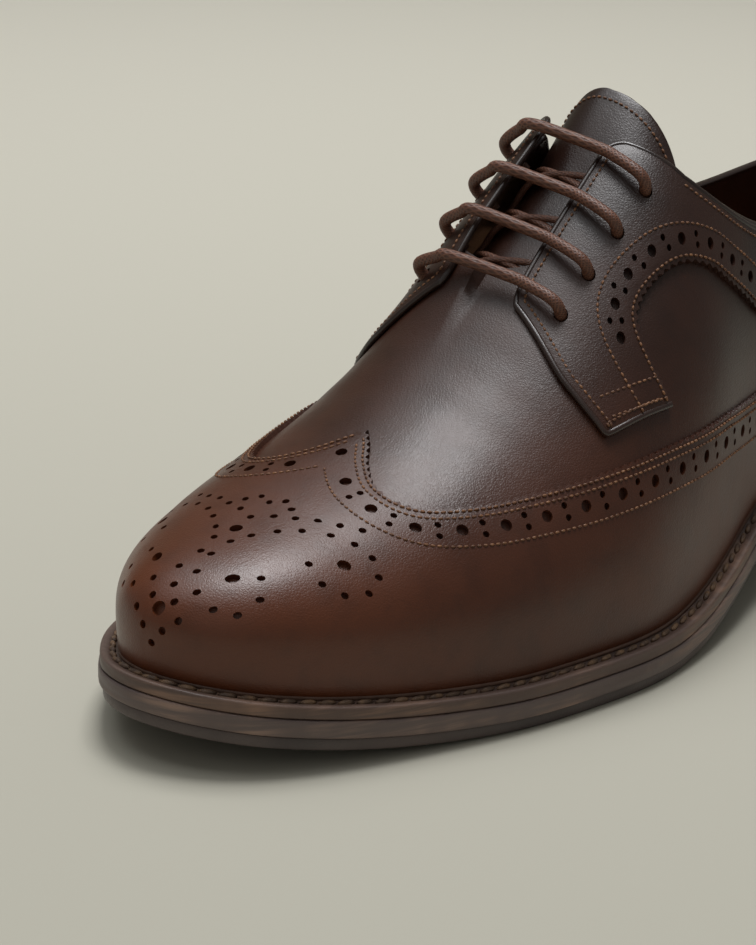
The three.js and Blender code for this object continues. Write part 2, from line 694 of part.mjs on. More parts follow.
function makeWingCap() {
  const columns = [
    ...bodyColumns(1, WING_SIDE_STATIONS),
    ...toeColumns(TOE_TURNS),
    ...bodyColumns(-1, [...WING_SIDE_STATIONS].reverse()),
  ];
  const rows = (one) => {
    const opening = one.toe ? 0 : openingEdge(one.side, one.q);
    return [0, ...steps(opening, 1, UPPER_ROWS).slice(0, -1), OVERLAY_FOOT];
  };
  return overlay(columns, rows, wingOutline(), FIT_GAP, FIT_GAP + WING_THICKNESS);
}

// Facing: the front flap with the eyelets, and the band that runs from it along the collar to the back.
const FACING_FRONT = [
  { across: 0.098, q: -113.6 },
  { across: 0.074, q: -116.4 },
  { across: 0.07, q: -121 },
  { across: 0.076, q: -136.7 },
  { across: 0.083, q: -149.5 },
  { across: 0.095, q: -153.2 },
  { across: 0.236, q: -158.6 },
  { across: 0.317, q: -159.3 },
  { across: 0.408, q: -158.4 },
  { across: 0.435, q: -148.2 },
  { across: 0.47, q: -138.2 },
];
const FACING_BACK = [
  { across: 0.463, q: -138.4 },
  { across: 0.395, q: -139 },
  { across: 0.331, q: -138.2 },
  { across: 0.3, q: -135.4 },
  { across: 0.297, q: -129.5 },
  { across: 0.32, q: -121.5 },
  { across: 0.377, q: -113 },
  { across: 0.428, q: -107 },
];
const FACING_BAND = 0.155;
const FACING_END_MARGIN = 0.012;

function facingOutline(side) {
  const band = steps(-98, WING_END_Q, 14);
  const collar = (q, more) => [openingEdge(side, q) + more, q];
  const top = steps(WING_END_Q, -109, 16).map((q) => collar(q, FACING_END_MARGIN));
  return [
    ...FACING_FRONT.map((row) => [row.across, row.q]),
    ...smoothEdge(FACING_BACK, 16),
    ...band.map((q) => collar(q, FACING_BAND)),
    ...top,
  ].map(([across, q]) => [side * across, q]);
}

function makeFacing(side) {
  const stations = [WING_END_Q, ...HEEL_STATIONS.filter((q) => q < WING_END_Q - 3), ...QUARTER_STATIONS];
  const columns = bodyColumns(side, [...stations, ...THROAT_STATIONS, ...VAMP_STATIONS.slice(0, 1)]);
  if (side < 0) columns.reverse();
  const rows = (one) => {
    const opening = openingEdge(one.side, one.q);
    return [opening * 0.35, ...steps(opening, 1, UPPER_ROWS).slice(0, -1)];
  };
  return overlay(columns, rows, facingOutline(side), FIT_GAP, FIT_GAP + FACING_THICKNESS);
}

// A round punch through the leather at each eyelet.
function eyeletPunches(sides) {
  const punches = [];
  for (const side of sides) {
    for (const q of EYELET_STATIONS) {
      const start = raised(side * EYELET_ACROSS, q, -WALL - 1);
      const end = raised(side * EYELET_ACROSS, q, FIT_GAP + FACING_THICKNESS + 1);
      const punch = new THREE.CylinderGeometry(EYELET_RADIUS, EYELET_RADIUS, start.distanceTo(end), 8);
      const turn = new THREE.Quaternion();
      turn.setFromUnitVectors(new THREE.Vector3(0, 1, 0), end.clone().sub(start).normalize());
      punch.applyQuaternion(turn);
      const middle = start.lerp(end, 0.5);
      punch.translate(middle.x, middle.y, middle.z);
      punches.push(punch);
    }
  }
  return punches;
}
function punched(geometry, punches) {
  let solid = toSolid(geometry);
  for (const punch of punches) solid = solid.subtract(toSolid(punch));
  return fromSolid(solid);
}

// Tongue: a sheet under the facings, from beneath the vamp up to its free round tip. half is its half width on
// the pattern, and crown how far its middle stands up from the foot's own shape.
const TONGUE = [
  { y: -168, half: 0.13, crown: 0 },
  { y: -160, half: 0.165, crown: 0 },
  { y: -150, half: 0.185, crown: 0 },
  { y: -140, half: 0.19, crown: 0 },
  { y: -130, half: 0.195, crown: 0 },
  { y: -121, half: 0.195, crown: 0.3 },
  { y: -115, half: 0.185, crown: 1.8 },
  { y: -110, half: 0.17, crown: 3.8 },
  { y: -106.5, half: 0.15, crown: 5.6 },
  { y: -104.6, half: 0.115, crown: 6.4 },
  { y: -103.8, half: 0.06, crown: 6.8 },
];

function makeTongue() {
  const across = 8;
  const rows = TONGUE.length;
  const corners = [];
  const triangles = [];
  const width = across + 1;
  for (const below of [0, TONGUE_THICKNESS]) {
    for (const row of TONGUE) {
      for (const share of steps(-1, 1, across)) {
        const crown = row.crown * (1 - ((share * row.half) / TONGUE_HALF) ** 2) ** 1.5;
        const point = raised(share * row.half, row.y, crown - WALL - TONGUE_GAP - below, 0);
        corners.push([point.x, point.y, point.z]);
      }
    }
  }
  const lower = rows * width;
  for (let i = 0; i < rows - 1; i += 1) {
    for (let j = 0; j < across; j += 1) {
      const cell = [i * width + j, i * width + j + 1, (i + 1) * width + j + 1, (i + 1) * width + j];
      triangles.push(...quad(...cell));
      triangles.push(...quadBack(...cell.map((k) => k + lower)));
    }
  }
  const rim = [];
  for (let j = 0; j < across; j += 1) rim.push(j);
  for (let i = 0; i < rows - 1; i += 1) rim.push(i * width + across);
  for (let j = across; j > 0; j -= 1) rim.push((rows - 1) * width + j);
  for (let i = rows - 1; i > 0; i -= 1) rim.push(i * width);
  rim.forEach((here, k) => {
    const next = rim[(k + 1) % rim.length];
    triangles.push(...quad(next, here, here + lower, next + lower));
  });
  return body(corners, triangles);
}

// Backstay: the upright strip that covers the seam at the back.
function makeBackstay() {
  const half = steps(HEEL_END_Q - BACKSTAY_HALF, HEEL_END_Q, 3);
  const columns = [...bodyColumns(1, half), ...bodyColumns(-1, half.slice(0, -1).reverse())];
  const top = (one) => openingEdge(one.side, one.q) + FACING_END_MARGIN;
  return surfaceStrip(columns, top, () => OVERLAY_FOOT, FIT_GAP, FIT_GAP + BACKSTAY_THICKNESS, 8);
}

// Lace bar: straight across from eyelet to eyelet over the facings, both ends turned down into the holes.
function makeLaceBar(q) {
  const over = FIT_GAP + FACING_THICKNESS + FIT_GAP + LACE_RADIUS;
  const half = (side) => [
    raised(side * EYELET_ACROSS, q, FIT_GAP + 0.6),
    raised(side * EYELET_ACROSS * 0.96, q, over * 0.95),
    raised(side * EYELET_ACROSS * 0.86, q, over + 0.9),
    raised(side * EYELET_ACROSS * 0.6, q, over + 0.5),
    raised(side * EYELET_ACROSS * 0.36, q, over + 0.2),
  ];
  const path = new THREE.CatmullRomCurve3([...half(1), ...half(-1).reverse()]);
  const section = new THREE.Shape();
  section.absarc(0, 0, LACE_RADIUS, 0, Math.PI * 2);
  const tube = new THREE.ExtrudeGeometry(section, { steps: 11, curveSegments: 5, extrudePath: path });
  return mergeVertices(stripped(tube), 1e-4);
}

// Heel layers: flat slabs behind the breast, tapering towards the floor.
function heelLoop(inset) {
  const sides = 12;
  const breastSteps = 6;
  const back = [1, -1].map((side) => {
    const fine = planHalf(side, inset, 200).filter((p) => p.y >= BREAST_Y);
    return steps(0, fine.length - 1, sides).map((at) => fine[Math.round(at)]);
  });
  const [lateral, medial] = [back[0][sides], back[1][sides]];
  const breast = steps(0, 1, breastSteps).slice(1, -1).map((share) => {
    const bow = BREAST_HOLLOW * Math.sin(Math.PI * share);
    return new THREE.Vector2(mix(lateral.x, medial.x, share), mix(lateral.y, medial.y, share) + bow);
  });
  return [...back[0], ...breast, ...back[1].slice(1).reverse()];
}
const BREAST_HOLLOW = 4.5;

function heelLayer(rings) {
  const loops = rings.map((ring) => heelLoop(ring.inset));
  const around = loops[0].length;
  const corners = loops.flatMap((loop, r) => loop.map((p) => [p.x, p.y, rings[r].z]));
  const triangles = [];
  for (let r = 0; r < rings.length - 1; r += 1) {
    for (let i = 0; i < around; i += 1) {
      const j = (i + 1) % around;
      triangles.push(...quad(r * around + i, r * around + j, (r + 1) * around + j, (r + 1) * around + i));
    }
  }
  const cap = THREE.ShapeUtils.triangulateShape(loops[0], []);
  const topCap = THREE.ShapeUtils.triangulateShape(loops[loops.length - 1], []);
  const clockwise = THREE.ShapeUtils.isClockWise(loops[0]);
  const wind = (triangle, flip) => (flip ? [...triangle].reverse() : triangle);
  const top = (rings.length - 1) * around;
  triangles.push(...cap.map((t) => wind(t, !clockwise)));
  triangles.push(...topCap.map((t) => wind(t.map((i) => i + top), clockwise)));
  return body(corners, triangles);
}

// A small plate that follows the sole's underside in the waist.
function underPlate(halfWidth, front, back, low, high) {
  const count = 8;
  const corners = [];
  for (const lift of [low, high]) {
    for (const y of steps(front, back, count)) {
      for (const x of [-halfWidth, halfWidth]) corners.push([x, y, undersideZ(y) + lift]);
    }
  }
  const upper = 2 * (count + 1);
  const triangles = [];
  for (let i = 0; i < count; i += 1) {
    const cell = [2 * i, 2 * i + 2, 2 * i + 3, 2 * i + 1];
    triangles.push(...quad(...cell));
    triangles.push(...quadBack(...cell.map((k) => k + upper)));
    triangles.push(...quad(2 * i, 2 * i + upper, 2 * i + 2 + upper, 2 * i + 2));
    triangles.push(...quad(2 * i + 1, 2 * i + 3, 2 * i + 3 + upper, 2 * i + 1 + upper));
  }
  triangles.push(...quad(0, 1, 1 + upper, upper));
  triangles.push(...quad(2 * count + 1, 2 * count, 2 * count + upper, 2 * count + 1 + upper));
  return body(corners, triangles);
}


const COLOURS = {
  leather: { color: 0x44302b, roughness: 0.38 },
  lining: { color: 0x8a6a4c, roughness: 0.7 },
  edge: { color: 0x4c4039, roughness: 0.6 },
  sole: { color: 0x35302e, roughness: 0.7 },
  lace: { color: 0x5c3a28, roughness: 0.6 },
  inlay: { color: 0xa8652f, roughness: 0.5 },
};

const group = new THREE.Group();

function addPiece(name, geometry, look) {
  const material = new THREE.MeshStandardMaterial({ metalness: 0, ...COLOURS[look] });
  const mesh = new THREE.Mesh(geometry, material);
  mesh.name = name;
  group.add(mesh);
}

addPiece('upper', punched(makeUpper(), eyeletPunches([1, -1])), 'leather');
addPiece('wing_cap', makeWingCap(), 'leather');
addPiece('facing_lateral', punched(makeFacing(1), eyeletPunches([1])), 'leather');
addPiece('facing_medial', punched(makeFacing(-1), eyeletPunches([-1])), 'leather');
addPiece('backstay', makeBackstay(), 'leather');
addPiece('tongue', makeTongue(), 'leather');
EYELET_STATIONS.forEach((q, i) => addPiece(`lace_bar_${i + 1}`, makeLaceBar(q), 'lace'));
addPiece(
  'insole',
  soleLayer([
    { inset: WELT_WIDTH + FIT_GAP, lift: WELT_LIFT },
    { inset: WELT_WIDTH + FIT_GAP, lift: FEATHER_LIFT },
    { inset: INSOLE_INSET, lift: FEATHER_LIFT },
    { inset: INSOLE_INSET, lift: FEATHER_LIFT + INSOLE_THICKNESS },
  ]),
  'lining',
);
const pocket = underPlate(INLAY.halfWidth + FIT_GAP, INLAY.front - FIT_GAP, INLAY.back + FIT_GAP, -4, 1.3);
const outsoleBlank = soleLayer([
  { inset: 1.4, lift: 0 },
  { inset: 0.8, lift: OUTSOLE_THICKNESS },
]);
addPiece('outsole', fromSolid(toSolid(outsoleBlank).subtract(toSolid(pocket))), 'sole');
const inlayBase = 0.1;
const inlayPlate = underPlate(INLAY.halfWidth, INLAY.front, INLAY.back, inlayBase, inlayBase + INLAY.thickness);
addPiece('sole_inlay', inlayPlate, 'inlay');
addPiece(
  'heel_block',
  heelLayer([
    { inset: 1.4, z: TOP_PIECE_THICKNESS + FIT_GAP },
    { inset: 0.8, z: HEEL_LIFT - FIT_GAP },
  ]),
  'sole',
);
addPiece(
  'heel_top_piece',
  heelLayer([
    { inset: 2.4, z: 0 },
    { inset: 1.6, z: 0.8 },
    { inset: 1.4, z: TOP_PIECE_THICKNESS },
  ]),
  'sole',
);
addPiece(
  'midsole',
  soleLayer([
    { inset: 0.4, lift: MIDSOLE_LIFT },
    { inset: -0.3, lift: MIDSOLE_LIFT + 0.8 },
    { inset: -0.3, lift: MIDSOLE_LIFT + MIDSOLE_THICKNESS - 0.6 },
    { inset: 0.3, lift: MIDSOLE_LIFT + MIDSOLE_THICKNESS },
  ]),
  'edge',
);
addPiece(
  'welt',
  soleRing([
    { inset: 0.4, lift: WELT_LIFT },
    { inset: 0, lift: WELT_LIFT + 0.6 },
    { inset: 0, lift: WELT_LIFT + WELT_THICKNESS - 0.6 },
    { inset: 0.6, lift: WELT_LIFT + WELT_THICKNESS },
    { inset: WELT_WIDTH, lift: WELT_LIFT + WELT_THICKNESS },
    { inset: WELT_WIDTH, lift: WELT_LIFT },
  ]),
  'edge',
);

export default group;
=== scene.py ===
# %% [markdown]
# A brown long-wing derby for the left foot stands alone on a pale studio floor. This notebook builds its
# looks round the fixed working model: leather panels that follow one shaped surface, punched decoration,
# seams, laces, the welted sole with its stitches, and the inside. Sizes in the tables are in
# millimetres.

# %% Tools and the working model
import math

import bmesh
import bpy
import numpy as np
from mathutils import Matrix, Vector


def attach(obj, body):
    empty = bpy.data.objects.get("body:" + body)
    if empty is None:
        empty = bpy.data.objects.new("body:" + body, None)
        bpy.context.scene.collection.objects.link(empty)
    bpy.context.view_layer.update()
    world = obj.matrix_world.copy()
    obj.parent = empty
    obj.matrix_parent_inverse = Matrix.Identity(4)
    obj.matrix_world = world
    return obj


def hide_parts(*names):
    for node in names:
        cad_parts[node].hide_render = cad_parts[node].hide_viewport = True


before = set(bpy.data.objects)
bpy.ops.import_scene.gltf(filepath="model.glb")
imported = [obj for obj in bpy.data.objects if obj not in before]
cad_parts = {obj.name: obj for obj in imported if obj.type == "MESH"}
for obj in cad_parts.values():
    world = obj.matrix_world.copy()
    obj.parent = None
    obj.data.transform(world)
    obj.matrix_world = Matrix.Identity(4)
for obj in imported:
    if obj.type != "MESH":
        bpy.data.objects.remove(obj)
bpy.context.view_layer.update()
MM = 0.001

# %% [markdown]
# The camera stands low in front of the shoe and to its outer side, with a long lens. The picture is
# taller than wide and the toe comes towards the viewer on the left. Its turn and roll are set from the
# lines of the sole.

# %% Camera
CAMERA_AT = (351.5205, -605.9363, 234.0511)
CAMERA_TURN = 40.082
CAMERA_RISE = 19.159
CAMERA_ROLL = 1.917
CAMERA_FOCAL_PIXELS = 2613.55
PICTURE_LONG_SIDE = 945


def make_camera():
    turn, rise, roll = (math.radians(v) for v in (CAMERA_TURN, CAMERA_RISE, CAMERA_ROLL))
    back = Vector((math.sin(turn) * math.cos(rise), -math.cos(turn) * math.cos(rise), math.sin(rise)))
    right = Vector((math.cos(turn), math.sin(turn), 0))
    up = back.cross(right)
    x_axis = right * math.cos(roll) + up * math.sin(roll)
    y_axis = up * math.cos(roll) - right * math.sin(roll)
    data = bpy.data.cameras.new("camera")
    data.sensor_width = 36
    data.lens = CAMERA_FOCAL_PIXELS / PICTURE_LONG_SIDE * data.sensor_width
    data.shift_x = -1 / PICTURE_LONG_SIDE
    data.clip_start = 0.05
    data.clip_end = 20
    camera = bpy.data.objects.new("camera", data)
    rows = [[x_axis[i], y_axis[i], back[i], CAMERA_AT[i] * MM] for i in range(3)]
    camera.matrix_world = Matrix(rows + [[0, 0, 0, 1]])
    bpy.context.collection.objects.link(camera)
    bpy.context.scene.camera = camera


make_camera()
print("camera focal length", round(bpy.context.scene.camera.data.lens, 2), "mm")

# %% [markdown]
# The form under the leather is the shape a shoemaker's last gives. A plan of the sole's edge and a short
# table of cross-sections give the whole outside. The same tables drive the working model, so that each
# panel made here lies on the same surface.

# %% Tables of the form
BACK_Y, TIP_X, TIP_Y = 38, -1, -264
WELD, SKIVE_WIDTH = 0.02, 1.1
TOE_SPRING, SPRING_START, WAIST_START, WAIST_END, HEEL_LIFT = 9, -186, -150, -48, 20.6
FEATHER_LIFT = 10.3
POLE_Y, TOE_TURN, HEEL_AXIS_Y, HEEL_TURN, HALF_GIRTH = -222, 45, 4, 50, 60
HEEL_END = HEEL_AXIS_Y + HEEL_TURN
WIDEST_SPLIT, THROAT_Y, THROAT_HALF_GAP, WALL = 0.74, -156, 11.3, 2

SOLE_PLAN = {
    "y": (33.5, 25, 12, -5, -25, -48, -72, -95, -115, -135, -155, -175, -195, -212, -228, -242, -253, -261),
    "lateral": (15.5, 25.5, 32, 35, 35.8, 36.5, 39, 43.5, 49, 53.5, 55.5, 53.5, 49.5, 43.8, 37.5, 30.5, 22.5,
                11.5),
    "medial": (-15.5, -25, -31.5, -34, -33.5, -30.5, -28, -28.5, -32, -37.5, -43.5, -47.5, -47.5, -44, -37.8,
               -30, -21, -11.5),
}
SECTIONS = {
    "y": (4, -35, -70, -95, -108, -120, -140, -160, -180, -200, -222),
    "ridge": (129, 129, 128, 121, 114, 105.5, 89, 73.5, 61, 52, 45.5),
    "ridge_x": (0, -0.5, -1.5, -2.5, -3, -3, -3, -2, 0, 0.8, 0.5),
    "shoulder": (0.6, 0.58, 0.57, 0.62, 0.66, 0.68, 0.62, 0.6, 0.53, 0.53, 0.55),
    "wall": (0.12, 0.15, 0.25, 0.36, 0.42, 0.45, 0.45, 0.46, 0.5, 0.53, 0.56),
    "widest": (17, 17, 17, 17, 17, 17, 16, 15, 13, 12, 11),
    "bulge_lateral": (2.5, 2.5, 2.5, 2, 1.6, 1.4, 1.2, 1, 1, 1, 1),
    "bulge_medial": (2.5, 3, 5, 6, 5, 4.4, 3, 2, 1.2, 1, 1),
    "inset": (4.6, 4.8, 5.4, 5.6, 5.6, 5.6, 5.6, 5.6, 5.6, 5.6, 5.6),
}
TOE_CENTRE = {"shoulder": 0.6, "wall": 0.6, "widest": 9.5, "bulge": 1}
HEEL_CENTRE = {"ridge": 130, "shoulder": 0.68, "wall": 0.1, "widest": 20, "bulge": 3}
COLLAR = {
    "y": (54, 30, 4, -25, -50, -70, -85, -96, -107, -112.5, -118),
    "top": (91, 88, 83.5, 81, 81.5, 84.5, 88.5, 93.5, 101, 107, 114),
}
print("sections", len(SECTIONS["y"]), "and points of the plan", len(SOLE_PLAN["y"]))

# %% [markdown]
# The tables have few rows. A value between two rows is read with a smooth cubic, so that the surface has
# no kinks, just as a last is filed fair between its templates.

# %% Reading the tables
def column(table, name, at):
    """Reads one column of a table between its rows, with a smooth cubic."""
    order = np.argsort(table["y"])
    keys = np.array(table["y"], float)[order]
    values = np.array(table[name], float)[order]
    slopes = np.empty(len(keys))
    slopes[1:-1] = (values[2:] - values[:-2]) / (keys[2:] - keys[:-2])
    slopes[0] = (values[1] - values[0]) / (keys[1] - keys[0])
    slopes[-1] = (values[-1] - values[-2]) / (keys[-1] - keys[-2])
    at = np.clip(np.asarray(at, float), keys[0], keys[-1])
    i = np.clip(np.searchsorted(keys, at, side="left") - 1, 0, len(keys) - 2)
    span = keys[i + 1] - keys[i]
    s = (at - keys[i]) / span
    return ((2 * s**3 - 3 * s**2 + 1) * values[i] + (s**3 - 2 * s**2 + s) * span * slopes[i]
            + (3 * s**2 - 2 * s**3) * values[i + 1] + (s**3 - s**2) * span * slopes[i + 1])


def smooth_step(value):
    value = np.clip(value, 0, 1)
    return value**2 * (3 - 2 * value)


def underside(y):
    toe = np.clip((SPRING_START - y) / (SPRING_START - TIP_Y), 0, 1)
    return TOE_SPRING * toe**2 + HEEL_LIFT * smooth_step((y - WAIST_START) / (WAIST_END - WAIST_START))

# %% [markdown]
# The edge of the sole is one closed curve through listed points. It is sampled once, and every ring of the
# sole and the foot of the form is this curve moved inwards.

# %% The plan curve
def plan_points():
    lateral = list(zip(SOLE_PLAN["lateral"], SOLE_PLAN["y"]))
    medial = list(zip(SOLE_PLAN["medial"], SOLE_PLAN["y"]))
    return [(0, BACK_Y), *lateral, (TIP_X, TIP_Y), *reversed(medial)]


def plan_spline(place):
    """A point and the direction of the closed plan curve, at a share of its run from the back centre."""
    points = plan_points()
    count = len(points)
    at = (place % 1) * count
    i = int(math.floor(at))
    s = at - i
    p = [np.array(points[(i + k) % count], float) for k in (-1, 0, 1, 2)]
    gaps = [float(np.sum((p[k + 1] - p[k]) ** 2)) ** 0.25 for k in range(3)]
    t1 = ((p[1] - p[0]) / gaps[0] - (p[2] - p[0]) / (gaps[0] + gaps[1]) + (p[2] - p[1]) / gaps[1]) * gaps[1]
    t2 = ((p[2] - p[1]) / gaps[1] - (p[3] - p[1]) / (gaps[1] + gaps[2]) + (p[3] - p[2]) / gaps[2]) * gaps[1]
    c2 = -3 * p[1] + 3 * p[2] - 2 * t1 - t2
    c3 = 2 * p[1] - 2 * p[2] + t1 + t2
    point = p[1] + t1 * s + c2 * s**2 + c3 * s**3
    slope = t1 + 2 * c2 * s + 3 * c3 * s**2
    return point, slope / np.linalg.norm(slope)


FINE = 400
PLAN_SAMPLES = [plan_spline(i / (2 * FINE)) for i in range(2 * FINE + 1)]
print("places on the plan curve", len(PLAN_SAMPLES))


def plan_half(side, inset):
    """One half of the plan, moved in by an inset that may change with y, from the back to the tip."""
    rows = []
    for i in range(FINE + 1):
        point, slope = PLAN_SAMPLES[i] if side > 0 else PLAN_SAMPLES[2 * FINE - i]
        amount = inset(point[1]) if callable(inset) else inset
        x, y = point[0] + slope[1] * amount, point[1] - slope[0] * amount
        if i == 0:
            x = 0
        if i == FINE:
            x = TIP_X
        rows.append((x, y))
    return np.array(rows)

# %% [markdown]
# The foot of the form turns round the toe and round the heel like a fan. Its reach is stored by angle
# there, and by length along the body, so that one grid can run round the whole shoe without a seam in
# its shape.

# %% The fans of toe and heel
POLE_X = float(column(SECTIONS, "ridge_x", POLE_Y))
FOOT = {}
for side in (1, -1):
    foot_line = plan_half(side, lambda y: float(column(SECTIONS, "inset", y)))
    toe_part = foot_line[foot_line[:, 1] < POLE_Y + 12]
    heel_part = foot_line[foot_line[:, 1] > HEEL_AXIS_Y - 12]
    FOOT[side] = {
        "y": -foot_line[:, 1],
        "reach": np.abs(foot_line[:, 0]),
        "toe_angle": np.arctan2(POLE_Y - toe_part[:, 1], side * (toe_part[:, 0] - POLE_X)),
        "toe_reach": np.hypot(toe_part[:, 0] - POLE_X, toe_part[:, 1] - POLE_Y),
        "heel_angle": np.arctan2(heel_part[:, 1] - HEEL_AXIS_Y, side * heel_part[:, 0])[::-1],
        "heel_reach": np.hypot(heel_part[:, 0], heel_part[:, 1] - HEEL_AXIS_Y)[::-1],
    }
POLE_SLOPE = float(column(SECTIONS, "ridge", POLE_Y + 14) - column(SECTIONS, "ridge", POLE_Y)) / 14

# %% [markdown]
# Each half cross-section is two cubic curves: from the ridge down to the widest place, and from there in
# to the foot. Many sections are worked out at once, because the panels have tens of thousands of
# corners.

# %% Cross-sections
def mix(a, b, share):
    return a + (b - a) * share


def cubic(a, b, c, d, s):
    return a * (1 - s) ** 3 + 3 * b * (1 - s) ** 2 * s + 3 * c * (1 - s) * s**2 + d * s**3


def sections_at(side, q, turn):
    """The half cross-sections at many places at once, as a table of arrays."""
    bulge_name = "bulge_lateral" if side > 0 else "bulge_medial"
    row = {name: column(SECTIONS, name, q) for name in SECTIONS if name != "y"}
    pole = {name: float(column(SECTIONS, name, POLE_Y)) for name in SECTIONS if name != "y"}
    axis = {name: float(column(SECTIONS, name, HEEL_AXIS_Y)) for name in SECTIONS if name != "y"}
    foot_table = FOOT[side]
    angle = np.clip((q - HEEL_AXIS_Y) / HEEL_TURN, 0, None) * math.pi / 2
    toe_share, heel_share = np.cos(turn) ** 2, np.sin(angle) ** 2
    in_toe, in_heel = turn < math.pi / 2, q > HEEL_AXIS_Y
    body_foot = np.interp(-q, foot_table["y"], foot_table["reach"]) - side * row["ridge_x"]
    toe_foot = np.interp(math.pi / 2 - turn, foot_table["toe_angle"], foot_table["toe_reach"])
    heel_foot = np.interp(angle, foot_table["heel_angle"], foot_table["heel_reach"])

    def choose(toe_value, heel_value, body_value):
        return np.where(in_toe, toe_value, np.where(in_heel, heel_value, body_value))

    foot = choose(toe_foot, heel_foot, body_foot)
    foot_y = choose(POLE_Y - toe_foot * np.cos(turn), HEEL_AXIS_Y + heel_foot * np.sin(angle), q)
    return {
        "x": choose(POLE_X, 0, row["ridge_x"]),
        "y": choose(POLE_Y, HEEL_AXIS_Y, q),
        "dx": choose(side * np.sin(turn), side * np.cos(angle), side),
        "dy": choose(-np.cos(turn), np.sin(angle), 0),
        "foot": foot,
        "widest": foot + choose(mix(pole[bulge_name], TOE_CENTRE["bulge"], toe_share),
                                mix(axis[bulge_name], HEEL_CENTRE["bulge"], heel_share), row[bulge_name]),
        "foot_z": underside(foot_y) + FEATHER_LIFT,
        "rise": choose(mix(pole["widest"], TOE_CENTRE["widest"], toe_share),
                       mix(axis["widest"], HEEL_CENTRE["widest"], heel_share), row["widest"]),
        "ridge": choose(pole["ridge"], mix(axis["ridge"], HEEL_CENTRE["ridge"], heel_share), row["ridge"]),
        "slope": choose(-POLE_SLOPE * np.cos(turn), 0, 0),
        "shoulder": choose(mix(pole["shoulder"], TOE_CENTRE["shoulder"], toe_share),
                           mix(axis["shoulder"], HEEL_CENTRE["shoulder"], heel_share), row["shoulder"]),
        "wall": choose(mix(pole["wall"], TOE_CENTRE["wall"], toe_share),
                       mix(axis["wall"], HEEL_CENTRE["wall"], heel_share), row["wall"]),
    }


def along_section(row, t):
    top_z = row["foot_z"] + row["rise"]
    s = np.clip(t / WIDEST_SPLIT, 0, 1)
    lead = row["shoulder"] * row["widest"]
    upper_reach = cubic(0, lead, row["widest"], row["widest"], s)
    upper_z = cubic(row["ridge"], row["ridge"] + row["slope"] * lead, mix(top_z, row["ridge"], row["wall"]),
                    top_z, s)
    s = np.clip((t - WIDEST_SPLIT) / (1 - WIDEST_SPLIT), 0, 1.3)
    lower_reach = cubic(row["widest"], row["widest"], mix(row["foot"], row["widest"], 0.5), row["foot"], s)
    lower_z = cubic(top_z, mix(top_z, row["foot_z"], 0.5), mix(top_z, row["foot_z"], 0.85), row["foot_z"], s)
    reach = np.where(t <= WIDEST_SPLIT, upper_reach, lower_reach)
    z = np.where(t <= WIDEST_SPLIT, upper_z, lower_z)
    return reach, z

# %% [markdown]
# The surface is the last with two coordinates, as on a flat pattern: how far across, and how far along.
# Leather stands off it by its own lift, and the facings also spring open a little where the laces draw
# them.

# %% The surface and its normals
def surface(across, q):
    """Points of the form in millimetres. across runs from -1 at the inner foot over 0 to 1 at the outer."""
    across, q = np.broadcast_arrays(np.asarray(across, float), np.asarray(q, float))
    out = np.empty(across.shape + (3,))
    forward = np.clip((POLE_Y - q) / TOE_TURN, 0, None)
    turn = np.where(q < POLE_Y, np.arctan2(np.abs(across), np.maximum(forward, 1e-9)), math.pi / 2)
    t = np.where(q < POLE_Y, np.hypot(across, forward), np.abs(across))
    for side in (1, -1):
        mask = across >= 0 if side > 0 else across < 0
        if not mask.any():
            continue
        row = sections_at(side, q[mask], turn[mask])
        reach, z = along_section(row, t[mask])
        out[mask] = np.stack([row["x"] + row["dx"] * reach, row["y"] + row["dy"] * reach, z], axis=-1)
    return out


FLARE = {1: 0.8, -1: 5}


def flare(across, q):
    most = np.where(across < 0, FLARE[-1], FLARE[1])
    along = smooth_step((q + 168) / 30) * (1 - smooth_step((q + 112) / 34))
    return most * along * smooth_step((0.5 - np.abs(across)) / 0.5)


def normals_at(across, q):
    across, q = np.broadcast_arrays(np.asarray(across, float), np.asarray(q, float))
    along_across = surface(across + 0.002, q) - surface(across - 0.002, q)
    along_q = surface(across, np.minimum(q + 0.1, HEEL_END)) - surface(across, q - 0.1)
    normal = np.cross(along_across, along_q)
    return normal / np.linalg.norm(normal, axis=-1, keepdims=True)


def raised(across, q, lift, spring=1):
    across, q = np.broadcast_arrays(np.asarray(across, float), np.asarray(q, float))
    out = np.asarray(lift) + spring * flare(across, q)
    return surface(across, q) + normals_at(across, q) * out[..., None]

# %% [markdown]
# The collar and the throat are cut where the half section meets a height or a width. A search by halves
# finds the place on every section at once. The same search places the punched holes of the toe.

# %% The opening and places on the toe
def share_where(side, q, passed):
    """The share of the half section at which a test first holds, for many q at once."""
    q = np.asarray(q, float)
    row = sections_at(side, q, np.full(q.shape, math.pi / 2))
    low, high = np.zeros(q.shape), np.full(q.shape, WIDEST_SPLIT)
    for _ in range(26):
        middle = (low + high) / 2
        hit = passed(*along_section(row, middle))
        high, low = np.where(hit, middle, high), np.where(hit, low, middle)
    return high


def opening_edge(side, q):
    q = np.asarray(q, float)
    gap = THROAT_HALF_GAP * np.sqrt(np.clip((q - THROAT_Y) / 6, 0, 1))
    throat = share_where(side, q, lambda reach, z: reach >= gap)
    top = column(COLLAR, "top", q)
    collar = share_where(side, q, lambda reach, z: z <= top)
    return np.where(q <= THROAT_Y, 0, np.maximum(throat, collar))


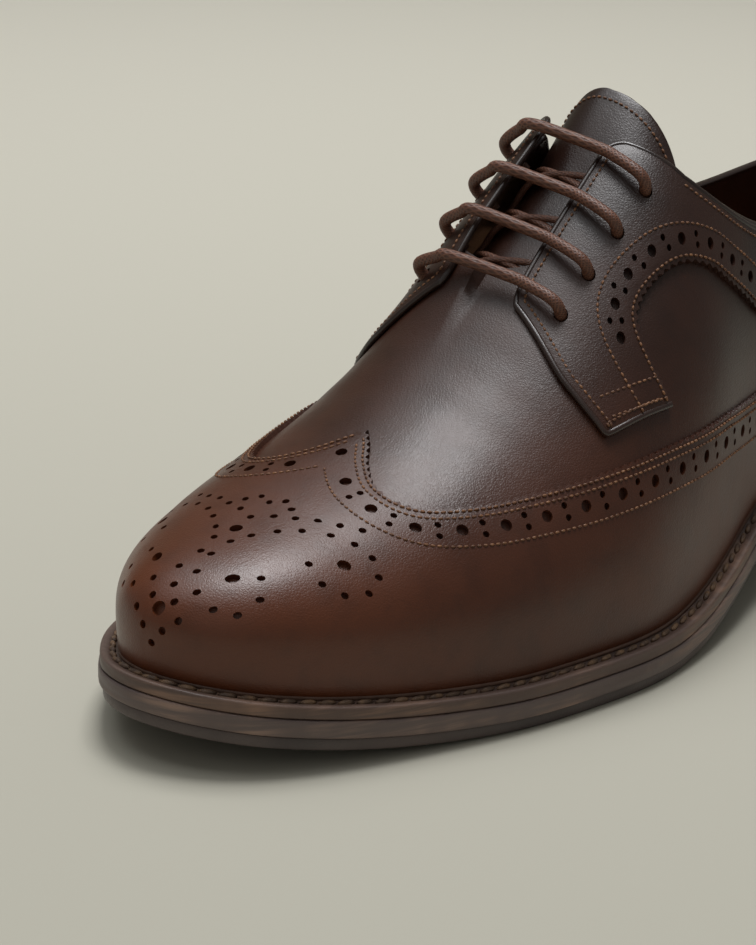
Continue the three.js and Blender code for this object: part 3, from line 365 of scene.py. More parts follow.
def pattern_place(x, y):
    """The pattern place whose surface point lies over a point of the plan, near the toe."""
    side = 1 if x >= POLE_X else -1
    if y < POLE_Y:
        turn = math.atan2(abs(x - POLE_X), POLE_Y - y)
        goal = math.hypot(x - POLE_X, y - POLE_Y)
        row = sections_at(side, np.array([POLE_Y]), np.array([min(turn, math.pi / 2 - 1e-6)]))
    else:
        turn = math.pi / 2
        row = sections_at(side, np.array([float(y)]), np.array([turn]))
        goal = abs(x - float(row["x"][0]))
    low, high = 0.0, WIDEST_SPLIT
    for _ in range(26):
        middle = (low + high) / 2
        if along_section(row, np.array([middle]))[0][0] >= goal:
            high = middle
        else:
            low = middle
    if y < POLE_Y:
        return side * high * math.sin(turn), POLE_Y - TOE_TURN * high * math.cos(turn)
    return side * high, y


tip = surface(0, POLE_Y - TOE_TURN)
print("toe foot of the form at", np.round(tip, 1), "ball width", round(max(SOLE_PLAN["lateral"]), 1))

# %% [markdown]
# Helpers turn shapes into meshes. A panel is cut flat, as a clicker cuts leather: a thin slab of the
# pattern is kept inside an outline, holes are punched out of it, and only then is it pulled over the
# form. Stitches are one small bead repeated along a line.

# %% Meshes from bmesh, and the flat slab
COLLECTION = bpy.context.collection
SLAB_THICKNESS = 4.0
CUTTER_LOW, CUTTER_HIGH = -3.0, 8.0


def link_mesh(name, mesh):
    thing = bpy.data.objects.new(name, mesh)
    COLLECTION.objects.link(thing)
    return thing


def finish_mesh(thing, smooth_angle=38):
    mesh = thing.data
    bm = bmesh.new()
    bm.from_mesh(mesh)
    bmesh.ops.recalc_face_normals(bm, faces=bm.faces[:])
    bm.to_mesh(mesh)
    bm.free()
    mesh.shade_smooth()
    mesh.set_sharp_from_angle(angle=math.radians(smooth_angle))
    return thing


def flat_slab(low, high, step):
    """A closed flat slab with a fine grid, in the pattern's own plane."""
    columns = max(2, int((high[0] - low[0]) / step))
    rows = max(2, int((high[1] - low[1]) / step))
    bm = bmesh.new()
    bmesh.ops.create_grid(bm, x_segments=columns, y_segments=rows, size=0.5)
    for vert in bm.verts:
        vert.co.x = low[0] + (vert.co.x + 0.5) * (high[0] - low[0])
        vert.co.y = low[1] + (vert.co.y + 0.5) * (high[1] - low[1])
        vert.co.z = 0
    made = bmesh.ops.extrude_face_region(bm, geom=bm.faces[:])
    lifted = [v for v in made["geom"] if isinstance(v, bmesh.types.BMVert)]
    bmesh.ops.translate(bm, verts=lifted, vec=(0, 0, SLAB_THICKNESS))
    bmesh.ops.recalc_face_normals(bm, faces=bm.faces[:])
    mesh = bpy.data.meshes.new("slab")
    bm.to_mesh(mesh)
    bm.free()
    return link_mesh("slab", mesh)


def prism(outline):
    """A straight-sided cutter over a closed outline."""
    bm = bmesh.new()
    verts = [bm.verts.new((x, y, CUTTER_LOW)) for x, y in outline]
    edges = [bm.edges.new((verts[i], verts[(i + 1) % len(verts)])) for i in range(len(verts))]
    bmesh.ops.contextual_create(bm, geom=edges)
    made = bmesh.ops.extrude_face_region(bm, geom=bm.faces[:])
    lifted = [v for v in made["geom"] if isinstance(v, bmesh.types.BMVert)]
    bmesh.ops.translate(bm, verts=lifted, vec=(0, 0, CUTTER_HIGH - CUTTER_LOW))
    bmesh.ops.recalc_face_normals(bm, faces=bm.faces[:])
    mesh = bpy.data.meshes.new("cutter")
    bm.to_mesh(mesh)
    bm.free()
    return link_mesh("cutter", mesh)

# %% [markdown]
# A stitch or a hole is the same small shape many times. An operator makes it once, and its corners are
# then placed by a table of matrices as one joined mesh, which is far faster than hundreds of objects.

# %% Repeating a small shape
def template(maker):
    """The corners and faces of one small shape made by an operator, ready to be repeated."""
    bm = bmesh.new()
    maker(bm)
    bm.verts.index_update()
    corners = np.array([v.co[:] for v in bm.verts])
    faces = [[v.index for v in face.verts] for face in bm.faces]
    bm.free()
    return corners, faces


def repeat(name, shape, matrices):
    """One joined mesh of a small shape at many places."""
    corners, faces = shape
    all_corners, all_faces = [], []
    for k, m in enumerate(matrices):
        m = np.array(m)
        all_corners.append(corners @ m[:3, :3].T + m[:3, 3])
        all_faces.extend([[i + k * len(corners) for i in face] for face in faces])
    mesh = bpy.data.meshes.new(name)
    mesh.from_pydata(np.concatenate(all_corners).tolist(), [], all_faces)
    thing = link_mesh(name, mesh)
    mesh.shade_smooth()
    return thing

# %% [markdown]
# Cutting is a Boolean with closed shapes, so that each hole has real walls. The pattern is stretched by
# the form, and the punch is squeezed by the same amount, so that holes are round when worn.

# %% Cutting and punching
def boolean(target, cutter, operation):
    modifier = target.modifiers.new("cut", "BOOLEAN")
    modifier.operation = operation
    modifier.solver = "MANIFOLD"
    modifier.object = cutter
    graph = bpy.context.evaluated_depsgraph_get()
    result = bpy.data.meshes.new_from_object(target.evaluated_get(graph))
    target.modifiers.clear()
    old = target.data
    target.data = result
    bpy.data.meshes.remove(old)
    bpy.data.objects.remove(cutter)
    return target


def metric(point):
    """How long one flat millimetre is on the form, sideways and along."""
    across, q = point[..., 0] / HALF_GIRTH, point[..., 1]
    side = (surface(across + 0.004, q) - surface(across - 0.004, q)) / (0.008 * HALF_GIRTH)
    along = (surface(across, np.minimum(q + 0.3, HEEL_END)) - surface(across, q - 0.3))
    span = np.minimum(q + 0.3, HEEL_END) - (q - 0.3)
    along = along / span[..., None]
    return side, along


def hole_shape(bm):
    bmesh.ops.create_cone(bm, cap_ends=True, segments=14, radius1=1, radius2=1, depth=12)


def punch(panel, holes):
    """Punches round holes through a flat panel. holes are (x, y, radius) with the radius as worn."""
    matrices = []
    for x, y, radius in holes:
        side, along = metric(np.array([x, y], float))
        m = np.eye(4)
        m[0, 0] = radius / np.linalg.norm(side)
        m[1, 1] = radius / np.linalg.norm(along)
        m[:3, 3] = (x, y, 2)
        matrices.append(m)
    return boolean(panel, repeat("holes", template(hole_shape), matrices), "DIFFERENCE")

# %% [markdown]
# A flat panel is pulled over the form by moving its corners. Near its outline the top face is thinned,
# as a leather worker skives an edge, so the overlay melts into the leather below.

# %% Pulling a panel over the form
def polyline_distance(points, line):
    """The distance from each point to a line of points, all in the same space."""
    best = np.full(len(points), 1e9)
    for a, b in zip(line[:-1], line[1:]):
        ab = b - a
        length = float(ab @ ab)
        share = np.clip(((points - a) @ ab) / max(length, 1e-9), 0, 1)
        near = a + share[:, None] * ab
        best = np.minimum(best, np.linalg.norm(points - near, axis=1))
    return best


def last_panel(panel, low, high, outline, skive):
    """Pulls a flat panel over the form. Near its outline the top face is thinned by skive."""
    mesh = panel.data
    corners = np.empty(len(mesh.vertices) * 3)
    mesh.vertices.foreach_get("co", corners)
    corners = corners.reshape(-1, 3)
    layer = corners[:, 2] / SLAB_THICKNESS
    loop = np.array(list(outline) + [outline[0]], float)
    distance = polyline_distance(corners[:, :2], loop)
    top = high - skive * (1 - smooth_step(distance / SKIVE_WIDTH))
    lift = low + (top - low) * layer
    placed = worn(corners[:, 0] / HALF_GIRTH, corners[:, 1], lift) * MM
    mesh.vertices.foreach_set("co", placed.ravel())
    mesh.update()
    return finish_mesh(panel, 42)

# %% [markdown]
# Seams and rows of holes keep an even distance as worn. A line is divided by its worn length, and is
# moved sideways with the stretch of the form taken into account.

# %% Lines on the pattern
def running_length(points):
    """The length of a line of points up to each of them."""
    return np.concatenate([[0], np.cumsum(np.linalg.norm(np.diff(points, axis=0), axis=1))])


def resample(points, spacing, lift=0.0):
    """Places along a pattern line, evenly spaced as worn."""
    points = np.array(points, float)
    run = running_length(raised(points[:, 0] / HALF_GIRTH, points[:, 1], lift))
    count = max(1, int(round(run[-1] / spacing)))
    goals = (np.arange(count) + 0.5) * run[-1] / count
    return np.stack([np.interp(goals, run, points[:, k]) for k in range(2)], axis=1)


def spline(points, per_span=12):
    """A smooth line through given points, on equal steps of each span."""
    points = [np.array(p, float) for p in points]
    ends = [2 * points[0] - points[1], *points, 2 * points[-1] - points[-2]]
    out = []
    for i in range(1, len(ends) - 2):
        p0, p1, p2, p3 = ends[i - 1:i + 3]
        for k in range(per_span):
            s = k / per_span
            out.append(0.5 * (2 * p1 + (p2 - p0) * s + (2 * p0 - 5 * p1 + 4 * p2 - p3) * s**2
                              + (3 * p1 - p0 - 3 * p2 + p3) * s**3))
    out.append(points[-1])
    return np.array(out)


def offset_line(line, distance, inward, steps=None):
    """The line moved sideways over the form by a worn distance. inward is 1 or -1 for the side."""
    line = np.array(line, float)
    distance = np.broadcast_to(np.asarray(distance, float), (len(line),))
    steps = steps or max(1, int(math.ceil(np.abs(distance).max())))
    step = distance[:, None] / steps
    for _ in range(steps):
        side, along = metric(line)
        tangent = np.gradient(line, axis=0)
        e = np.sum(side * side, axis=1)
        f = np.sum(side * along, axis=1)
        g = np.sum(along * along, axis=1)
        lowered_x = e * tangent[:, 0] + f * tangent[:, 1]
        lowered_y = f * tangent[:, 0] + g * tangent[:, 1]
        normal = np.stack([-lowered_y, lowered_x], axis=1) * inward
        nx, ny = normal[:, 0], normal[:, 1]
        size = np.sqrt(e * nx**2 + 2 * f * nx * ny + g * ny**2)
        line = line + normal / size[:, None] * step
    return line

# %% [markdown]
# A stitch lies along its seam and follows the leather. Its three directions come from the seam and the
# normal of the form, in the order that keeps the bead the right way out.

# %% Stitches
def placed_frames(places, lift):
    """Worn points, their normals and the directions of the line through them."""
    places = np.array(places, float)
    across, q = places[:, 0] / HALF_GIRTH, places[:, 1]
    points = raised(across, q, lift)
    normals = normals_at(across, q)
    forward = np.gradient(points, axis=0)
    forward = forward / np.maximum(np.linalg.norm(forward, axis=1, keepdims=True), 1e-9)
    return points, normals, forward


STITCH_PITCH, THREAD_RADIUS = 1.5, 0.31


def stitch_shape(bm):
    bmesh.ops.create_uvsphere(bm, u_segments=6, v_segments=5, radius=1)


def stitch_matrices(points, normals, forwards, length, radius, tilt=0.0):
    matrices = []
    for point, normal, forward in zip(points, normals, forwards):
        f = Vector(forward)
        n = Vector(normal)
        n = (n - f * n.dot(f)).normalized()
        s = f.cross(n).normalized()
        if tilt:
            turn = Matrix.Rotation(tilt, 3, n)
            f, s = turn @ f, turn @ s
        wide, long = radius * MM, length / 2 * MM
        rows = [[s[i] * wide, f[i] * long, n[i] * wide, point[i] * MM] for i in range(3)]
        matrices.append(rows + [[0, 0, 0, 1]])
    return matrices


def sew(places, lift, length):
    """Stitches along one pattern line."""
    spots = resample(places, STITCH_PITCH, lift)
    points, normals, forwards = placed_frames(spots, lift)
    return stitch_matrices(points, normals, forwards, length, THREAD_RADIUS)

# %% [markdown]
# Laces, rims and the rand are round tubes. One grid is wrapped round the path, its long edges are
# joined, and its ends are closed. Its map keeps the turn and the run for the pattern of the braid.

# %% Tubes along a path
def tube_rings(path, radius, segments, flat):
    """Rings of points round a path. flat squeezes them upright."""
    path = [Vector(p) for p in path]
    turns = np.linspace(0, 2 * math.pi, segments + 1)
    side = (path[1] - path[0]).orthogonal().normalized()
    rings = []
    for i, point in enumerate(path):
        tangent = (path[min(i + 1, len(path) - 1)] - path[max(i - 1, 0)]).normalized()
        other = Vector((0, 0, 1)) - tangent * tangent.z
        if other.length < 0.2:
            other = side - tangent * side.dot(tangent)
        other.normalize()
        side = other.cross(tangent)
        rings.append([point + (side * math.cos(t) + other * math.sin(t) * flat) * radius for t in turns])
    return np.array([[p[:] for p in ring] for ring in rings])


def sweep(name, path, radius, segments=12, flat=1.0):
    """A round tube along a path in millimetres, closed at both ends, with a map of its turn and its run."""
    rings = tube_rings(path, radius, segments, flat)
    run = float(np.sum(np.linalg.norm(np.diff(np.array(path, float), axis=0), axis=1)))
    bm = bmesh.new()
    run_map = bm.loops.layers.uv.new("run")
    bmesh.ops.create_grid(bm, x_segments=segments, y_segments=len(rings) - 1, size=1, calc_uvs=True)
    for vert, point in zip(bm.verts, rings.reshape(-1, 3)):
        vert.co = point * MM
    for face in bm.faces:
        for loop in face.loops:
            loop[run_map].uv.y *= run / 10
    bmesh.ops.remove_doubles(bm, verts=bm.verts[:], dist=0.003 * MM)
    bmesh.ops.holes_fill(bm, edges=[e for e in bm.edges if e.is_boundary], sides=0)
    bmesh.ops.recalc_face_normals(bm, faces=bm.faces[:])
    mesh = bpy.data.meshes.new(name)
    bm.to_mesh(mesh)
    bm.free()
    thing = link_mesh(name, mesh)
    mesh.shade_smooth()
    mesh.set_sharp_from_angle(angle=math.radians(60))
    return thing


print("helpers ready")

# %% [markdown]
# The upper is a real shell of leather with a lining inside. It runs as one strip from the back seam down
# the outer side, round the toe, and back along the inner side. The strip is made as one grid, drawn over
# the form, joined at the instep and at the back seam, and then given its thickness. The collar edge
# stays open.

# %% Creases of the vamp
def creases(across, q):
    """Soft hollows and rolls where the vamp has started to bend, in millimetres."""
    out = np.zeros(np.broadcast(across, q).shape)
    for middle, lean, depth, width, reach in (
            (-171, 26, 0.32, 4.2, 0.42), (-180, 20, 0.28, 5.0, 0.40), (-164.5, 40, 0.18, 3.2, 0.5)):
        run = q - middle - lean * across**2
        out -= depth * np.exp(-(run / width) ** 2) * np.exp(-(across / reach) ** 4)
        out += 0.5 * depth * np.exp(-((run - 1.9 * width) / width) ** 2) * np.exp(-(across / reach) ** 4)
    return out


def worn(across, q, lift):
    """The form with its creases, at a height above the plain surface."""
    across, q = np.broadcast_arrays(np.asarray(across, float), np.asarray(q, float))
    return raised(across, q, np.asarray(lift) + creases(across, q))


VAMP_END = -147.5


def shown_opening(side, q):
    """The opening of the visible leather. The vamp runs on under the lowest lace."""
    q = np.asarray(q, float)
    tab = THROAT_HALF_GAP * np.sqrt(np.clip((q - VAMP_END) / 5, 0, 1))
    row = share_where(side, q, lambda reach, z: reach >= tab)
    throat = np.where(q > VAMP_END + 5, opening_edge(side, q), 0)
    return np.where(q <= VAMP_END, 0, np.maximum(row, throat))

# %% [markdown]
# The strip has one row of places for each station, from the outer heel round the toe to the inner heel.
# Each row starts at the edge of the opening, or at the ridge where the shoe is closed.

# %% Places of the strip
def strip_places(rows, columns, outer=1.0):
    """Pattern places of the whole strip: one row for each station from the outer heel to the inner heel."""
    body = np.linspace(HEEL_END, POLE_Y, rows)
    turns = np.linspace(math.pi / 2, 0, int(rows * 0.42))[1:]
    stations = [("body", 1, q) for q in body]
    stations += [("toe", 1, turn) for turn in turns]
    stations += [("toe", -1, turn) for turn in turns[-2::-1]]
    stations += [("body", -1, q) for q in body[::-1]]
    out = np.zeros((len(stations), columns + 1, 2))
    share = np.linspace(0, 1, columns + 1)
    for i, (kind, side, value) in enumerate(stations):
        if kind == "body":
            start = float(shown_opening(side, np.array([value]))[0])
            t = start + (outer - start) * share
            out[i] = np.stack([side * t, np.full(len(t), value)], axis=1)
        else:
            t = outer * share
            along = POLE_Y - TOE_TURN * t * math.cos(value)
            out[i] = np.stack([side * t * math.sin(value), along], axis=1)
    return out

# %% [markdown]
# A sheet is a grid whose corners are put on a table of points. A shell runs over the top and back
# beneath it, so one grid gives both faces and the edge. Its underside takes the second material, the
# lining.

# %% Sheets and shells
def grid_mesh(name, points):
    """A sheet through a table of points in millimetres, made from one grid."""
    rows, columns = points.shape[:2]
    bm = bmesh.new()
    bmesh.ops.create_grid(bm, x_segments=columns - 1, y_segments=rows - 1, size=1)
    bm.verts.ensure_lookup_table()
    flat = points.reshape(-1, 3)
    for i, vert in enumerate(bm.verts):
        vert.co = flat[i] * MM
    bmesh.ops.remove_doubles(bm, verts=bm.verts[:], dist=WELD * MM)
    bmesh.ops.recalc_face_normals(bm, faces=bm.faces[:])
    mesh = bpy.data.meshes.new(name)
    bm.to_mesh(mesh)
    bm.free()
    return link_mesh(name, mesh)


def shell(name, places, lifts, creased=True):
    """A closed sheet of leather between two heights over one table of pattern places."""
    low, high = lifts
    across, q = places[..., 0], places[..., 1]
    place = worn if creased else raised
    top = place(across, q, high)
    bottom = place(across, q, low)
    rows, columns = across.shape
    table = np.concatenate([top, bottom[:, ::-1]], axis=1)
    table = np.concatenate([table, table[:, :1]], axis=1)
    bm = bmesh.new()
    bmesh.ops.create_grid(bm, x_segments=table.shape[1] - 1, y_segments=rows - 1, size=1)
    flat = table.reshape(-1, 3)
    for i, vert in enumerate(bm.verts):
        vert.co = flat[i] * MM
    for face in bm.faces:
        column_of = [v.index % table.shape[1] for v in face.verts]
        face.material_index = 1 if min(column_of) >= columns - 1 and max(column_of) <= 2 * columns else 0
    wide = table.shape[1]
    closed = np.abs(across[:, 0]) < 1e-9
    walls = [f for f in bm.faces if min(v.index % wide for v in f.verts) == wide - 2
             and all(closed[v.index // wide] for v in f.verts)]
    bmesh.ops.delete(bm, geom=walls, context="FACES_ONLY")
    bmesh.ops.remove_doubles(bm, verts=bm.verts[:], dist=WELD * MM)
    edges = [e for e in bm.edges if e.is_boundary]
    if edges:
        bmesh.ops.holes_fill(bm, edges=edges, sides=0)
    bmesh.ops.recalc_face_normals(bm, faces=bm.faces[:])
    mesh = bpy.data.meshes.new(name)
    bm.to_mesh(mesh)
    bm.free()
    thing = link_mesh(name, mesh)
    mesh.shade_smooth()
    mesh.set_sharp_from_angle(angle=math.radians(50))
    return thing


PIECES = {}
strip = strip_places(150, 64, outer=1.04)
PIECES["upper"] = shell("upper_leather", strip, (-WALL, 0.0))
print("upper", len(PIECES["upper"].data.polygons), "faces")

# %% [markdown]
# The long wing wraps the whole shoe. Its upper edge is gimped into small teeth, and behind the edge run
# two rows of stitches, a row of punched holes in two sizes, and one more row of stitches. The wing is
# cut flat, is punched, and is then pulled over the form, so that each hole is a real hole with the vamp
# beneath it.

# %% The wing's edge
WING_EDGE = ((0, -192.8), (0.04, -196.6), (0.085, -201.4), (0.155, -205.6), (0.235, -205.8), (0.3, -202),
             (0.362, -192.5), (0.407, -181.8), (0.448, -169.9), (0.483, -157.2), (0.527, -141.5),
             (0.587, -121.5), (0.632, -98), (0.655, -65), (0.663, -30), (0.668, 10), (0.67, 50))
WING_END = 43.8
PANEL_FOOT = 0.99
TOOTH_PITCH, TOOTH_DEPTH = 2.2, 0.75
BIG_HOLE, SMALL_HOLE = 1.35, 0.75


def pattern_line(rows, side=1, per_span=12):
    return spline([(side * across * HALF_GIRTH, q) for across, q in rows], per_span)


def even(line, spacing):
    return resample(line, spacing, 0.0)


def gimp(line, inward):
    """A toothed copy of a cut edge. The teeth are cut into the leather, to the inward side."""
    steps = 6
    base = even(line, TOOTH_PITCH / steps)
    wave = np.array([0.5 - 0.5 * math.cos(2 * math.pi * i / steps) for i in range(len(base))])
    return offset_line(base, TOOTH_DEPTH * wave**0.8, inward, 1)


def keep_side(line, side, margin=0.2):
    return line[line[:, 0] * side > margin]


def foot_outline(share, low_q):
    """The pattern's lower edge from the outer side round the toe to the inner side."""
    down = [(share * HALF_GIRTH, q) for q in np.linspace(low_q, POLE_Y, 60)]
    turns = np.linspace(math.pi / 2, -math.pi / 2, 70)[1:-1]
    toe = [(share * HALF_GIRTH * math.sin(t), POLE_Y - share * TOE_TURN * math.cos(t)) for t in turns]
    back = [(-x, q) for x, q in reversed(down)]
    return down + toe + back


wing_lines = {side: pattern_line(WING_EDGE, side) for side in (1, -1)}
for side in (1, -1):
    line = wing_lines[side]
    wing_lines[side] = line[line[:, 1] < WING_END]
wing_edge = {side: keep_side(gimp(wing_lines[side], -side), side, 0.05) for side in (1, -1)}
wing_outline = [(0, WING_EDGE[0][1])] + [tuple(p) for p in wing_edge[1]]
wing_outline += [(wing_edge[1][-1][0], WING_END)] + foot_outline(PANEL_FOOT, WING_END)
wing_outline += [(wing_edge[-1][-1][0], WING_END)] + [tuple(p) for p in wing_edge[-1][::-1]]
print("corners of the wing's outline", len(wing_outline))

# %% [markdown]
# The punched band has big holes with a pair of small ones between each two. The toe has a figure of curls,
# given for one half and mirrored over the middle.

# %% Punched decoration
def hole_row(line, first, pitch):
    """Big holes along a line, with a pair of small ones between each two."""
    fine = even(line, 0.25)
    start = int(np.argmin(np.hypot(fine[:, 0] - first[0], fine[:, 1] - first[1])))
    stride = int(round(pitch / 0.25))
    big = list(range(start, len(fine) - 6, stride))
    small = [i + stride // 2 for i in big if i + stride // 2 < len(fine) - 4]
    holes = [(fine[i][0], fine[i][1], BIG_HOLE) for i in big]
    for shift in (1.35, -1.35):
        moved = offset_line(fine, shift, 1)
        holes += [(moved[i][0], moved[i][1], SMALL_HOLE) for i in small]
    return holes


wing_holes = [(0.0, -201.6, BIG_HOLE)]
wing_rows = {1.3: [], 2.9: [], 9.6: []}
for side in (1, -1):
    for distance in wing_rows:
        moved = offset_line(wing_lines[side], distance, -side)
        wing_rows[distance].append(keep_side(moved, side, 0.6 if distance < 9 else 0.3))
    middle = keep_side(offset_line(wing_lines[side], 5.8, -side), side, 1.0)
    wing_holes += hole_row(middle, (side * 0.115 * HALF_GIRTH, -207.6), 10.2)

MEDALLION_BIG = ((0, 0), (9.5, 13.1), (23.1, -5.2))
MEDALLION_SMALL = (
    (0, -4.8), (0, -11), (4.55, 0.8), (2.1, 4.4), (1.3, 9.6), (2.2, 15.2), (5.4, 19), (9.9, 19.5),
    (14.1, 17.3), (16.1, 12.9), (13.8, 9.6), (3.1, -12.6), (5.9, -10.7), (4.3, -7), (8.5, -8.6),
    (12.6, -10.8), (16.8, -12.5), (20.8, -14.7), (8.2, -3), (12, -6.1), (17, -9), (21.7, -10.8),
    (25.8, -11.2), (28.7, -9.5), (29, -5.6), (26.4, -1), (22.6, 1.4), (18.4, 0.2))
TIP_CLUSTER = ((0.0, -243.5), (0.042, -247.1), (0.09, -250.6), (0.043, -253.7), (0.0, -256.7))
toe_holes = []
for chart, radius in ((MEDALLION_BIG, 1.4), (MEDALLION_SMALL, 0.8)):
    for s, f in chart:
        for mirrored in ((s, -s) if s else (0,)):
            x, y = 0.7 + mirrored + 0.075 * f, -234.4 - f + 0.11 * mirrored
            across, q = pattern_place(x, y)
            toe_holes.append((across * HALF_GIRTH, q, radius))

toe_holes.append((0.028 * HALF_GIRTH, -249.4, 1.4))
for across, q in TIP_CLUSTER:
    for mirrored in ((across, -across) if across else (0,)):
        toe_holes.append(((0.026 + mirrored) * HALF_GIRTH, q, 0.8))

# %% [markdown]
# Now the wing is made: slab, outline, holes, and the pull over the form. It stands 1.3 mm off the vamp.

# %% Cutting the wing
slab = flat_slab((-HALF_GIRTH, POLE_Y - TOE_TURN - 1), (HALF_GIRTH, WING_END + 1), 1.25)
wing = boolean(slab, prism(wing_outline), "INTERSECT")
wing = punch(wing, wing_holes + toe_holes)
wing.name = wing.data.name = "wing_leather"
PIECES["wing"] = last_panel(wing, 0.02, 1.3, outline=wing_outline, skive=0.22)
print("wing", len(wing.data.polygons), "faces,", len(wing_holes) + len(toe_holes), "holes")

# %% [markdown]
# Each facing carries two pairs of eyelets, bends back at the hem corner, and runs on as a gimped band
# below the collar. Its front edge is a plain cut edge, and the inner edge of the curl is gimped like the
# wing.

# %% Lines of the facings
FACING_FRONT = ((0.098, -113.6), (0.074, -116.4), (0.07, -121), (0.076, -136.7), (0.083, -149.5),
                (0.095, -153.2), (0.236, -158.6), (0.317, -159.3), (0.408, -158.4), (0.435, -148.2),
                (0.47, -138.2))
FACING_CURL = ((0.463, -138.4), (0.395, -139), (0.331, -138.2), (0.3, -135.4), (0.297, -129.5),
               (0.32, -121.5), (0.377, -113), (0.428, -107))
FACING_BAND, FACING_MARGIN = 0.155, 0.012
EYELET_STATIONS = (-119, -129.4, -139.7, -149.8)
EYELET_ACROSS = 0.182
BAND_FIRST_HOLE = (0.304, -143.6)


def facing_lines(side):
    band_q = np.linspace(-98, WING_END, 40)
    band = opening_edge(side, band_q) + FACING_BAND
    curl_rows = list(FACING_CURL) + list(zip(band, band_q))
    curl = pattern_line(curl_rows, side, 8)
    top_q = np.linspace(WING_END, -109, 60)
    top = np.stack([side * (opening_edge(side, top_q) + FACING_MARGIN) * HALF_GIRTH, top_q], axis=1)
    front = np.array([(side * a * HALF_GIRTH, q) for a, q in FACING_FRONT])
    edge, hem, end = spline(front[:6], 8), spline(front[5:9], 8), spline(front[8:], 8)
    return np.concatenate([edge[:-1], hem[:-1], end]), curl, top

# %% [markdown]
# The facings are cut and punched like the wing. Along the front and the collar each has a burnished,
# rounded edge, which is a thin tube half sunk into the leather.

# %% Cutting the facings
def facing(side, name):
    front, curl, top = facing_lines(side)
    toothed = gimp(curl, side)
    outline = [tuple(p) for p in front[:-1]] + [tuple(p) for p in toothed] + [tuple(p) for p in top]
    xs = [p[0] for p in outline]
    slab = flat_slab((min(xs) - 1, -161), (max(xs) + 1, WING_END + 1), 1.0)
    panel = boolean(slab, prism(outline), "INTERSECT")
    holes = [(side * EYELET_ACROSS * HALF_GIRTH, q, 1.9) for q in EYELET_STATIONS]
    middle = offset_line(curl, 5.6, side)
    holes += hole_row(middle, (side * BAND_FIRST_HOLE[0] * HALF_GIRTH, BAND_FIRST_HOLE[1]), 8.6)
    panel = punch(panel, holes)
    panel.name = panel.data.name = name
    print(name, len(panel.data.polygons), "faces")
    return last_panel(panel, 0.02, 1.55, outline=outline, skive=0.3), (front, curl, top)


def facing_rim(front, top, name):
    """The burnished, rounded edge of a facing, from the heel along the collar and down the front."""
    line = even(np.concatenate([top, front[1:]]), 1.0)
    points = worn(line[:, 0] / HALF_GIRTH, line[:, 1], 0.8)
    return sweep(name, points, 0.8, 10)


PIECES["facing_lateral"], lines_lateral = facing(1, "facing_outer_leather")
PIECES["facing_medial"], lines_medial = facing(-1, "facing_inner_leather")
PIECES["edge_lateral"] = facing_rim(lines_lateral[0], lines_lateral[2], "facing_outer_edge")
PIECES["edge_medial"] = facing_rim(lines_medial[0], lines_medial[2], "facing_inner_edge")

# %% [markdown]
# The backstay covers the back seam as one narrow strip. The tongue lies under the laces, with a thin
# even edge and a crowned free end. Both are drawn over the form from one table of places each.

# %% Backstay
BACKSTAY_HALF = 9
TONGUE = ((-168, 0.13, 0), (-160, 0.165, 0), (-150, 0.2, 0), (-140, 0.25, 0), (-130, 0.29, 0),
          (-121, 0.32, 0.3), (-116, 0.335, 1.6), (-111, 0.335, 3.2), (-107.5, 0.315, 4.3),
          (-105, 0.27, 5.0), (-103.4, 0.18, 5.3), (-102.8, 0.07, 5.4))
TONGUE_LEAN = 0.075
TONGUE_THICKNESS, TONGUE_GAP = 1.6, 0.9


def backstay_places():
    columns, rows = 40, 28
    out = np.zeros((2 * rows - 1, columns + 1, 2))
    share = np.linspace(0, 1, columns + 1)
    for i, q in enumerate(np.linspace(HEEL_END - BACKSTAY_HALF, HEEL_END, rows)):
        for side, row in ((1, i), (-1, 2 * rows - 2 - i)):
            start = float(opening_edge(side, np.array([q]))[0]) + FACING_MARGIN
            across = side * (start + (PANEL_FOOT - start) * share)
            out[row] = np.stack([across, np.full(columns + 1, q)], axis=1)
    return out


PIECES["backstay"] = shell("backstay_leather", backstay_places(), (0.02, 1.15), creased=False)
print("backstay", len(PIECES["backstay"].data.polygons), "faces")

# %% [markdown]
# The tongue is one closed sheet. Its section is a flat band with softened edges, and its free end is
# crowned, because a worn tongue stands up over the laces.

# %% Tongue
tongue_y = [row[0] for row in TONGUE]
tongue_table = {"y": tongue_y, "half": [row[1] for row in TONGUE], "crown": [row[2] for row in TONGUE]}


def tongue_surface(across, y, below):
    """Points on the tongue, a given depth below its top face."""
    crown = column(tongue_table, "crown", y)
    swell = crown * np.clip(1 - (np.abs(across) / 0.34) ** 2, 0, 1) ** 1.6
    lean = TONGUE_LEAN * smooth_step((y + 130) / 25)
    return raised(across - lean, y, swell - WALL - TONGUE_GAP - below, 0)


def tongue_sheet():
    """Rows of places round the tongue's section: over the top, then back beneath."""
    ys = np.concatenate([np.linspace(-168, -108, 60)[:-1], np.linspace(-108, -102.8, 20)])
    shares = np.sin(np.linspace(-math.pi / 2, math.pi / 2, 49))
    share, y = np.meshgrid(np.concatenate([shares, shares[::-1]]), ys)
    below = 0.35 * np.abs(share) ** 8
    below[:, 49:] = TONGUE_THICKNESS - below[:, 49:]
    points = tongue_surface(share * column(tongue_table, "half", y), y, below)
    return np.concatenate([points, points[:, :1]], axis=1)


